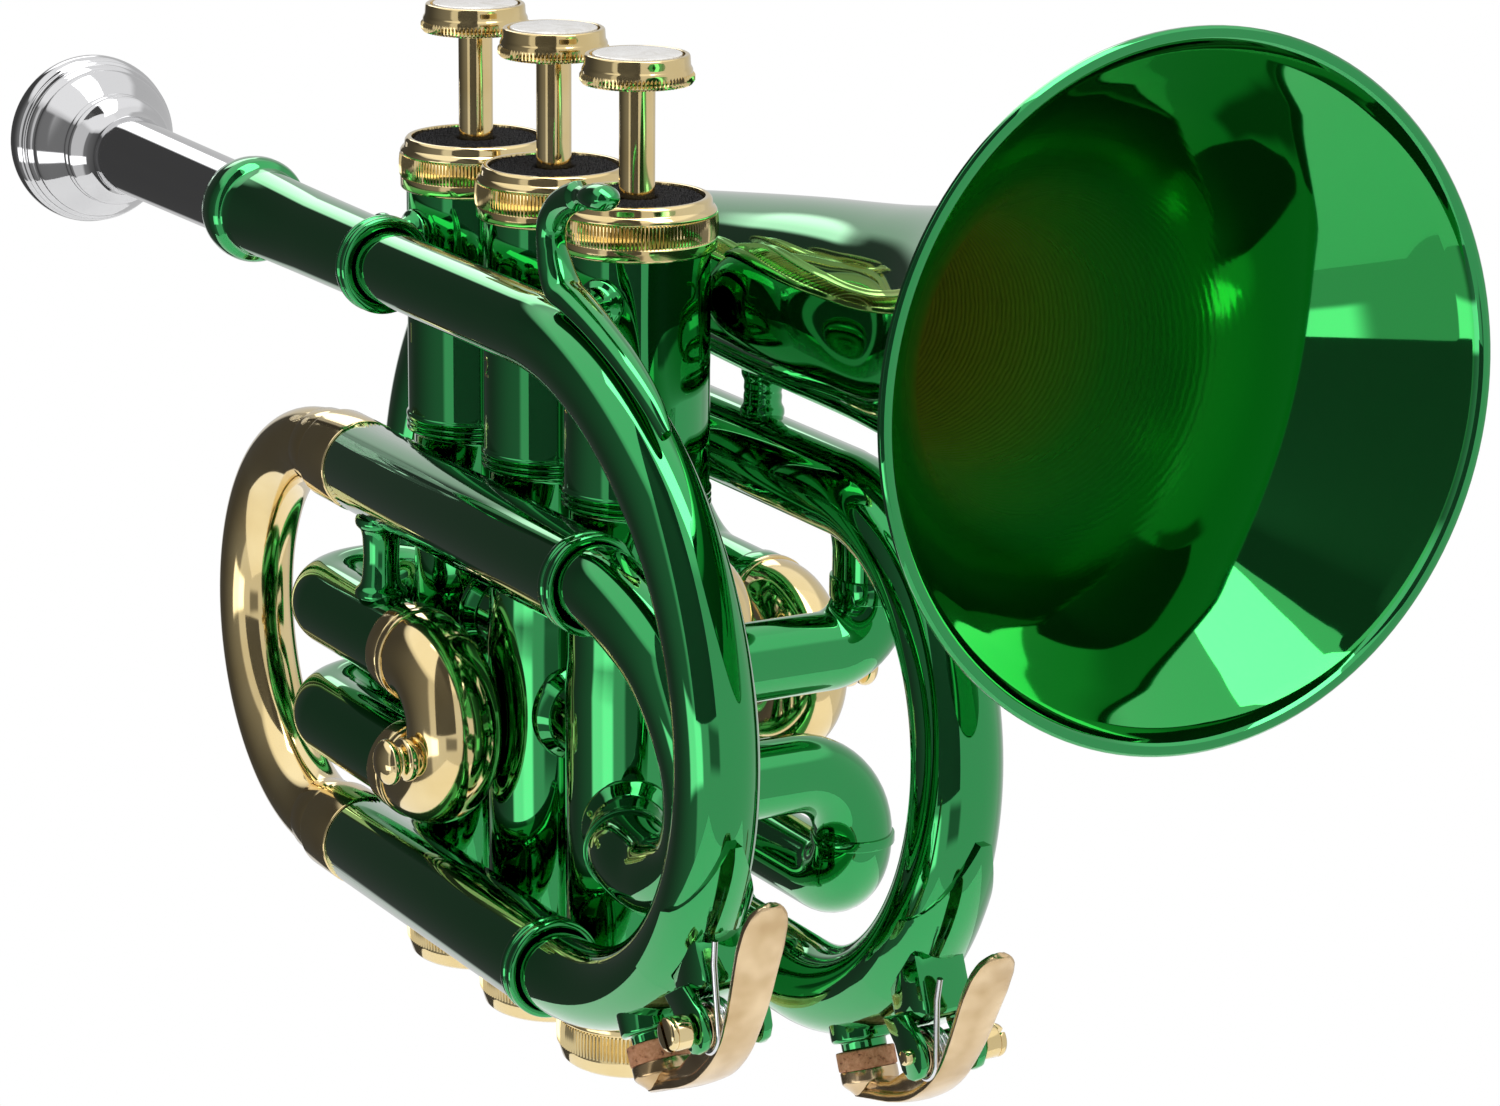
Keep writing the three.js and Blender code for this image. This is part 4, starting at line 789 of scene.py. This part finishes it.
run_tube(bm, outlet_path, 6.45)
ring_on(bm, -11.5, -8.4, 6.3, 7.0, (0, *UPPER_B), X)
finish_piece(bm, "outlet_bend", "main", "green", ("outlet_tube",))

# %% [markdown]
# ## Hook and braces
# The finger hook is a bent rod that is flattened to a leaf where it lies on the mouthpipe and to a small
# lens at its tip. An oval section that changes from station to station gives both. The braces are short
# turned posts whose feet flare out against the tubes that they hold.

# %% Finger hook
hook_line = [(76, 108.6), (72.2, 111.9), (65.8, 115.6), (57.2, 119.2), (50.5, 121.4), (46.4, 122.6),
             (43.6, 126.1), (42.7, 128.8), (43, 131.4), (45.4, 134), (49.9, 136.1), (54.8, 137),
             (60.5, 137.6)]
hook_path = flowing([(x, PIPE_Y, z) for x, z in hook_line], 8)
LEAF_END, NECK_END, ROD_END = 0.42, 0.55, 0.86


def hook_size(share):
    """Thickness and width at a share of the hook's length: a leaf, a round rod and an olive tip."""
    if share < LEAF_END:
        return 1.2 + 0.9 * share / LEAF_END, 0.7 + 2.2 * (share / LEAF_END) ** 0.6
    if share < NECK_END:
        return 2.1, 2.9 - 0.8 * (share - LEAF_END) / (NECK_END - LEAF_END)
    if share <= ROD_END:
        return 2.1, 2.1
    tip = (share - ROD_END) / (1 - ROD_END)
    olive = sin(pi * max(0, tip - 0.2) / 0.8)
    thick = 1.4 + 0.5 * olive - 1.1 * max(0, tip - 0.85) / 0.15
    return thick, 1.7 + 0.6 * olive - 1.1 * max(0, tip - 0.9) / 0.1


hook_sizes = [hook_size(i / (len(hook_path) - 1)) for i in range(len(hook_path))]
bm = bmesh.new()
run_tube(bm, hook_path, hook_sizes, around=32, first_side=Z)
finish_piece(bm, "finger_hook_rod", "main", "green", ("finger_hook",), sharp=50)


# %% Braces
def post(name, start, end, neck, foot, node):
    """A turned post between two points, its feet flared."""
    axis = Vector(end) - Vector(start)
    full = axis.length
    flare = [(0, foot), (1.2, foot), (2.0, (neck + foot) / 2 - 0.3), (3.2, neck)]
    profile = [(0, 0), *flare, (full / 2, neck * 0.94), *[(full - a, r) for a, r in reversed(flare)],
               (full, 0)]
    turned_piece(name, profile, start, axis, "main", "green", (node,), soft=0.4, around=40)


for name, n, degrees, radius in (("rear", 1, -85, 6.3), ("front", 3, -56, 5.8)):
    hub, way_out = Vector((VALVE_X[n], 0, PIPE_Z + 1.4)), level_way(degrees)
    start = hub + way_out * (PIPE_Y / way_out.y - radius + 0.8)
    post("mouthpipe_post_" + name, start, hub + way_out * 10.2, 2.1, 3.5, "mouthpipe_brace_" + name)
post("leg_post", (-23, UPPER_LEG[0], 73.6), (-23, SLIDE_1_Y, 61), 2.9, 4.0, "leg_brace")
POST_X = 20
bell_point = BELL_TAIL + bell_axis * ((POST_X - BELL_TAIL.x) / bell_axis.x)
leg_point = Vector((POST_X, *UPPER_B))
toward = (leg_point - bell_point).normalized()
post("bell_post", bell_point + toward * 12.6, leg_point - toward * 5.9, 2.9, 3.3, "bell_brace")

# %% [markdown]
# ## Water keys
# A water key lets the player drain a bow: a sprung lever holds a cork against the nipple. Its saddle is
# soldered to the bow, with two cheeks that carry a hinge screw. Each key is drawn once in its own frame,
# along the bow, across it and out from it, and then put on its bow.

# %% Saddle and screw
def add_part(bm, part, place):
    """Puts a part that was drawn by itself into a piece, at its place."""
    bmesh.ops.transform(part, matrix=place, verts=part.verts)
    bmesh.ops.recalc_face_normals(part, faces=part.faces)
    sheet = bpy.data.meshes.new("part")
    part.to_mesh(sheet)
    part.free()
    bm.from_mesh(sheet)
    bpy.data.meshes.remove(sheet)


def plate_on(bm, outline, thick, y, place, rounding=0.4):
    """A flat cheek cut to an outline of (along, out) points."""
    part = bmesh.new()
    face = part.faces.new([part.verts.new((a, y - thick / 2, o)) for a, o in outline])
    grown = bmesh.ops.extrude_face_region(part, geom=[face])["geom"]
    far_side = [g for g in grown if isinstance(g, bmesh.types.BMVert)]
    bmesh.ops.translate(part, vec=(0, thick, 0), verts=far_side)
    bmesh.ops.recalc_face_normals(part, faces=part.faces)
    flat = [e for e in part.edges if e.calc_face_angle(0) > radians(50)]
    bmesh.ops.bevel(part, geom=flat, offset=rounding, segments=2, profile=0.5, affect="EDGES", material=-1)
    add_part(bm, part, place)


def strap_on(bm, path, place, start, end, tube_r, half_angle, thick):
    """A curved strap that lies on a bow from one station back to another and tapers to a tongue."""
    stretch = [path[i] for i in range(start, end, -1)]
    part = bmesh.new()
    sheet = bmesh.ops.create_grid(part, x_segments=24, y_segments=14, size=1)["verts"]
    for v in sheet:
        share = (v.co.x + 1) / 2 * (len(stretch) - 2)
        i = min(int(share), len(stretch) - 3)
        way = (stretch[i + 1] - stretch[i]).lerp(stretch[i + 2] - stretch[i + 1], share - i).normalized()
        point = stretch[i].lerp(stretch[i + 1], share - i)
        normal = place.to_3x3() @ Z
        normal = (normal - way * normal.dot(way)).normalized()
        taper = (v.co.x + 1) / 2
        swing = v.co.y * half_angle * (1 if taper < 0.5 else 1 - 0.9 * ((taper - 0.5) / 0.5) ** 0.7)
        v.co = point + (normal * cos(swing) + way.cross(normal) * sin(swing)) * (tube_r + 0.1 + thick / 2)
    faces = part.faces[:]
    bmesh.ops.recalc_face_normals(part, faces=faces)
    bmesh.ops.solidify(part, geom=faces, thickness=thick)
    add_part(bm, part, Matrix.Identity(4))


post_outline = [(16.3, 4.5), (22.4, 4.5), (25.1, 8.6), (25.4, 10.4), (24.9, 12.4), (23.6, 13.7), (22, 14.1),
                (20.4, 13.7), (19.1, 12.4), (18.7, 10.4), (18.4, 8.6)]
block_outline = [(17, -1), (26.6, -4.5), (26.6, 5.6), (17, 7.4)]
REACH, PIVOT = 22.0, 10.6


def add_screw(bm, key, side):
    """A hinge screw with a slotted head."""
    def there(along, across, out):
        return key @ Vector((along, across, out))

    turn_on(bm, [(0, 0), (0, 1.1), (12.9, 1.1), (12.9, 0)], there(REACH, -side * 6.45, PIVOT), Y * side,
            around=24)
    turn_on(bm, [(0, 0), (0, 2.2), (0.3, 2.4), (2.5, 2.4), (2.5, 0)], there(REACH, side * 5.95, PIVOT),
            Y * side, around=32)
    for half in (-1, 1):
        part = bmesh.new()
        turn_on(part, [(0, 0), (0, 2.4), (0.7, 2.4), (1.1, 2.1), (1.15, 0)], (0, 0, 0), Z, around=32)
        bmesh.ops.remove_doubles(part, verts=part.verts, dist=0.002)
        whole = part.verts[:] + part.edges[:] + part.faces[:]
        cut = bmesh.ops.bisect_plane(part, geom=whole, plane_co=(0.4 * half, 0, 0), plane_no=(-half, 0, 0),
                                     clear_outer=True)["geom_cut"]
        bmesh.ops.edgeloop_fill(part, edges=[g for g in cut if isinstance(g, bmesh.types.BMEdge)])
        add_part(bm, part, aimed(there(REACH, side * 8.4, PIVOT), Y * side) @ Matrix.Rotation(0.6, 4, "Z"))


# %% Lever with its cup, barrel and thumb leaf
lever_line = [(-1, 15.2), (4, 15.8), (10, 16.6), (16, 16.6), (23, 14.7), (29, 11.2), (35, 6.3), (40, 2.2),
              (44.2, -0.9)]
rib_outline = [(1, 13), (9, 13.6), (17.5, 11.6), (26.5, 11), (31, 8.6), (29, 11.4), (23, 14.9), (16, 16.8),
               (8, 16.6), (1, 15.4)]
leaf_width = [(0.0, 2.6), (0.15, 3.0), (0.4, 3.1), (0.55, 2.9), (0.7, 3.3), (0.82, 3.6), (0.9, 3.4),
              (0.95, 2.9), (0.98, 2.2), (1.0, 1.3)]


def width_at(share):
    for (a, wa), (b, wb) in zip(leaf_width, leaf_width[1:]):
        if share <= b:
            return wa + (wb - wa) * (share - a) / (b - a)
    return leaf_width[-1][1]


def leaf_on(bm, place):
    """The stamped lever: a strip that follows its line, widens to the thumb leaf and dishes a little."""
    line = flowing([(a, 0, o) for a, o in lever_line], 8)
    part = bmesh.new()
    sheet = bmesh.ops.create_grid(part, x_segments=len(line) - 1, y_segments=8, size=1)["verts"]
    for v in sheet:
        share = (v.co.x + 1) / 2
        i = min(len(line) - 2, int(share * (len(line) - 1)))
        point = line[i].lerp(line[i + 1], share * (len(line) - 1) - i)
        way = (line[i + 1] - line[i]).normalized()
        normal = Vector((-way.z, 0, way.x))
        y = v.co.y
        wide = width_at(share)
        v.co = point + Y * (y * wide - 0.7 * share) + normal * 0.35 * (1 - y * y)
    bmesh.ops.recalc_face_normals(part, faces=part.faces)
    bmesh.ops.solidify(part, geom=part.faces[:], thickness=1.2)
    rims = [e for e in part.edges if e.calc_face_angle(0) > radians(50)]
    bmesh.ops.bevel(part, geom=rims, offset=0.2, segments=2, profile=0.5, affect="EDGES", material=-1,
                    clamp_overlap=True)
    add_part(bm, part, place)


def make_key(letter, key, path, tube_r, side, start, end):
    """Saddle, screw, cork and lever of one key, in its own frame on its bow."""
    base, out = key.translation, key.to_3x3() @ Z
    pivot = key @ Vector((REACH, 0, PIVOT))
    bm = bmesh.new()
    strap_on(bm, path, key, start, end, tube_r, 1.35, 1.5)
    plate_on(bm, block_outline, 8.6, 0, key, 1.5)
    for y in (-4.7, 4.7):
        plate_on(bm, post_outline, 1.5, y, key)
    finish_piece(bm, "saddle_" + letter, "main", "green", ("key_%s_seat" % letter,), sharp=40)
    bm = bmesh.new()
    add_screw(bm, key, side)
    finish_piece(bm, "hinge_screw_" + letter, "main", "brass", ("key_%s_screw" % letter,))
    body = "water_key_" + letter
    bm = bmesh.new()
    turn_on(bm, [(8.7, 0), (8.7, 4.15), (8.85, 4.3), (11.4, 4.3), (11.54, 4.15), (11.54, 0)], base, out,
            around=48)
    finish_piece(bm, "cork_pad_" + letter, body, "cork", ("key_%s_cork" % letter,))
    bm = bmesh.new()
    leaf_on(bm, key)
    plate_on(bm, rib_outline, 4.6, 0, key, 0.8)
    turn_on(bm, [(11.55, 0), (11.55, 4.2), (13.3, 4.2), (13.8, 3.8), (14.6, 3.0), (15.4, 2.4), (15.4, 0)],
            base, out, around=48)
    turn_on(bm, [(-3.7, 1.45), (-3.7, 2.9), (3.7, 2.9), (3.7, 1.45)], pivot, Y, around=40, closed=True)
    turn_on(bm, [(2, 0), (2, 1.6), (4, 1.8), (4, 0)], pivot, out, around=24)
    finish_piece(bm, "lever_" + letter, body, "cast", ("key_%s_lever" % letter,), sharp=40)


make_key("a", KEY_A, mouthpipe_path, tube_r=6.0, side=-1, start=54, end=40)
make_key("b", KEY_B, bell_bow_path, tube_r=6.45, side=1, start=55, end=37)

# %% [markdown]
# Each key is held shut by a spring of thin wire: a few turns round the hinge barrel, one end resting on
# the saddle and the other pressing on the lever. It is too fine for the solids, so it lives here.

# %% Wire springs of the keys
def make_key_spring(letter, key):
    """Three turns of wire round the hinge barrel, with an end to each side."""
    inner = [(31.5, -3.6, 0.6), (29.6, -3.6, 3.4), (27.4, -3.3, 7.4)]
    coil = []
    for i in range(97):
        angle = 0.4 + 2 * pi * 3 * i / 96
        coil.append((REACH + 3.5 * cos(angle), -3.1 + 2.4 * i / 96, PIVOT + 3.5 * sin(angle)))
    outer = [(28.3, -0.6, 10.3), (32.2, 0, 7.3), (35.2, 0.3, 4.8)]
    line = [key @ Vector(p) for p in inner + coil + outer]
    bm = bmesh.new()
    run_tube(bm, line, 0.45, around=12)
    finish_piece(bm, "key_wire_" + letter, "main", "steel", ())


make_key_spring("a", KEY_A)
make_key_spring("b", KEY_B)

# %% [markdown]
# Under each piston stands a coil spring.

# %% Valve springs
SPRING_R, SPRING_TURNS, STATIONS = 6.2, 8, 192
for n, x in VALVE_X.items():
    coil = []
    for i in range(STATIONS + 1):
        angle, height = 2 * pi * SPRING_TURNS * i / STATIONS, 3.9 + 25.3 * i / STATIONS
        coil.append(Vector((x + SPRING_R * cos(angle), SPRING_R * sin(angle), height)))
    bm = bmesh.new()
    run_tube(bm, coil, 0.42, around=12)
    spring = finish_piece(bm, "coil_spring_%d" % n, "main", "steel", ("spring_%d" % n,))
    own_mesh(spring)

# %% [markdown]
# ## Valve numbers
# Each casing carries its number, engraved through the lacquer so that brass shows. Letters start flat,
# become a mesh, and are bent round the casing. A number cut into the wall would look the same from any
# distance at which a trumpet is seen, so a thin raised line of brass is enough.

# %% Numbers on the casings
NUMBER_TURN, NUMBER_Z, NUMBER_SIZE = radians(-98), 100.4, 4.455
for n, x in VALVE_X.items():
    letter = bpy.data.curves.new("number", "FONT")
    letter.body = str(n)
    letter.size = NUMBER_SIZE
    letter.align_x = "CENTER"
    letter.align_y = "CENTER"
    letter.extrude = 0.03
    drawn = bpy.data.objects.new("number", letter)
    bpy.context.scene.collection.objects.link(drawn)
    bpy.context.view_layer.update()
    flat = bpy.data.meshes.new_from_object(drawn.evaluated_get(bpy.context.evaluated_depsgraph_get()))
    bpy.data.objects.remove(drawn)
    bm = bmesh.new()
    bm.from_mesh(flat)
    for v in bm.verts:
        angle = NUMBER_TURN + v.co.x * 0.8 / CASING_R
        r = CASING_R + 0.02 + v.co.z
        v.co = Vector((x + r * cos(angle), r * sin(angle), NUMBER_Z + v.co.y))
    finish_piece(bm, "valve_number_%d" % n, "main", "brass", (), clean=0.0005)

print("pieces", len(faces_made), "faces", sum(faces_made.values()))

# %% [markdown]
# ## Studio
# The tubes and the bell tell how the photograph was lit, because each place on them mirrors one
# direction. White surfaces stood overhead and below, the room on the left was dark under a light box, and
# something dark stood beside the camera above a bright panel. So the world is white to the camera, and
# for reflections it is built from those few areas with soft edges. One lamp hangs overhead. The dark
# thing beside the camera was near enough to show in the bell alone, so it is a card that only
# reflections see. A small pale floor lies below, out of the way of reflections that run sideways.

# %% World
world = bpy.data.worlds.new("studio")
bpy.context.scene.world = world
world.use_nodes = True
tree = world.node_tree
background = tree.nodes["Background"]


def step(operation, *inputs):
    """A Math node of the world, fed by numbers or by other nodes."""
    node = tree.nodes.new("ShaderNodeMath")
    node.operation = operation
    for socket, value in zip(node.inputs, inputs):
        if isinstance(value, (int, float)):
            socket.default_value = value
        else:
            tree.links.new(value, socket)
    return node.outputs["Value"]


def rising(value, start, end):
    """0 before start, 1 after end and smooth between them."""
    node = tree.nodes.new("ShaderNodeMapRange")
    node.interpolation_type = "SMOOTHSTEP"
    node.inputs["From Min"].default_value = start
    node.inputs["From Max"].default_value = end
    tree.links.new(value, node.inputs["Value"])
    return node.outputs["Result"]


def between(value, low, high, soft):
    """1 inside a range and 0 outside it, with soft ends."""
    return step("MULTIPLY", rising(value, low - soft, low + soft),
                step("SUBTRACT", 1, rising(value, high - soft, high + soft)))


ROOM_AZIMUTH = radians(-135)
place = tree.nodes.new("ShaderNodeTexCoord")
turned_sky = tree.nodes.new("ShaderNodeMapping")
turned_sky.inputs["Rotation"].default_value = (0, 0, -ROOM_AZIMUTH)
tree.links.new(place.outputs["Generated"], turned_sky.inputs["Vector"])
sky = tree.nodes.new("ShaderNodeSeparateXYZ")
tree.links.new(turned_sky.outputs["Vector"], sky.inputs["Vector"])
turn = step("ARCTAN2", sky.outputs["Y"], sky.outputs["X"])
height = sky.outputs["Z"]
room = step("MULTIPLY", between(turn, radians(-52), radians(52), 0.06), between(height, -0.8, 0.57, 0.03))
backdrop = between(turn, radians(-130), radians(-50), 0.08)
box = step("MULTIPLY", between(turn, radians(-72), radians(-45), 0.03), between(height, 0.33, 0.6, 0.02))
panel = step("MULTIPLY", between(turn, radians(32), radians(70), 0.05), between(height, -0.42, -0.2, 0.02))
gap = step("MULTIPLY", between(turn, radians(90), radians(116), 0.05), between(height, -0.36, -0.15, 0.04))
ceiling = rising(height, 0.57, 0.7)
level = step("MULTIPLY_ADD", backdrop, -0.1, 0.65)
level = step("MULTIPLY_ADD", gap, -0.5, level)
level = step("MULTIPLY_ADD", ceiling, 0.4, level)
level = step("MULTIPLY_ADD", level, step("SUBTRACT", 1, room), 0.06)
level = step("MULTIPLY_ADD", rising(turn, -0.35, 0.9), step("MULTIPLY", room, 0.16), level)
level = step("MULTIPLY_ADD", step("MAXIMUM", box, panel), 1.8, level)
ray = tree.nodes.new("ShaderNodeLightPath")
level = step("MAXIMUM", level, ray.outputs["Is Camera Ray"])
tree.links.new(level, background.inputs["Color"])
background.inputs["Strength"].default_value = 1.0


# %% Lamp
lamp_place, middle = Vector((0.3, 0.1, 1.2)), Vector((0.03, 0, 0.07))
lamp = bpy.data.lights.new("lamp_over", "AREA")
lamp.shape = "RECTANGLE"
lamp.size, lamp.size_y = 0.5, 1.4
lamp.energy = 8
holder = bpy.data.objects.new("lamp_over", lamp)
holder.location = lamp_place
holder.rotation_mode = "QUATERNION"
holder.rotation_quaternion = (lamp_place - middle).to_track_quat("Z", "Y")
bpy.context.scene.collection.objects.link(holder)


# %% Dark card and floor
def mix_by_ray(tree, kind, for_others, for_kind):
    """Lets one kind of ray meet one shader, and all others another."""
    ray = tree.nodes.new("ShaderNodeLightPath")
    seen = tree.nodes.new("ShaderNodeMixShader")
    tree.links.new(ray.outputs[kind], seen.inputs["Fac"])
    tree.links.new(for_others, seen.inputs[1])
    tree.links.new(for_kind, seen.inputs[2])
    tree.links.new(seen.outputs["Shader"], tree.nodes["Material Output"].inputs["Surface"])


def stage_sheet(name, corners, material):
    """A flat sheet that belongs to the studio and not to the trumpet."""
    mesh = bpy.data.meshes.new(name)
    bm = bmesh.new()
    bm.faces.new([bm.verts.new(corner) for corner in corners])
    bm.to_mesh(mesh)
    bm.free()
    mesh.materials.append(material)
    sheet = bpy.data.objects.new(name, mesh)
    bpy.context.scene.collection.objects.link(sheet)


cloth, tree, shader = new_finish("dark_cloth", (0.1, 0.1, 0.1), 0, 1)
shader.inputs["Specular IOR Level"].default_value = 0
clear = tree.nodes.new("ShaderNodeBsdfTransparent")
mix_by_ray(tree, "Is Glossy Ray", clear.outputs["BSDF"], shader.outputs["BSDF"])
y, low, high = -0.5, -0.03, 2.6
stage_sheet("dark_card", [(0.2, y, low), (1.3, y, low), (1.3, y, high), (0.2, y, high)], cloth)
paper, tree, shader = new_finish("floor_paper", (0.9, 0.9, 0.9), 0, 0.9)
glow = tree.nodes.new("ShaderNodeEmission")
mix_by_ray(tree, "Is Camera Ray", shader.outputs["BSDF"], glow.outputs["Emission"])
half, low = 0.5, -0.35
floor_corners = [(-half, -half, low), (half, -half, low), (half, half, low), (-half, half, low)]
stage_sheet("floor", floor_corners, paper)

# %% [markdown]
# ## Camera
# The camera was worked out from the photograph: circles of known size, such as the caps, buttons and the
# bell's rim, give its direction, and their sizes and spacing give the distance and the length of lens.

# %% Camera
AZIMUTH, ELEVATION, ROLL = radians(-29.526), radians(15.380), radians(0.542)
DISTANCE, FOCAL_PIXELS, PHOTO_WIDTH = 0.65693, 4740.6, 1500
LOOK_AT = Vector((0.059402, 0, 0.08564))
back = Vector((cos(ELEVATION) * cos(AZIMUTH), cos(ELEVATION) * sin(AZIMUTH), sin(ELEVATION)))
side = Z.cross(back).normalized()
rise = back.cross(side)
side, rise = side * cos(ROLL) + rise * sin(ROLL), rise * cos(ROLL) - side * sin(ROLL)
camera = bpy.data.cameras.new("camera")
camera.sensor_width = 36
camera.lens = FOCAL_PIXELS * 36 / PHOTO_WIDTH
camera.clip_start = 0.05
holder = bpy.data.objects.new("camera", camera)
bpy.context.scene.collection.objects.link(holder)
axes = Matrix((side, rise, back)).transposed().to_4x4()
holder.matrix_world = Matrix.Translation(LOOK_AT + back * DISTANCE) @ axes
bpy.context.scene.camera = holder
bpy.context.scene.view_settings.view_transform = "Standard"
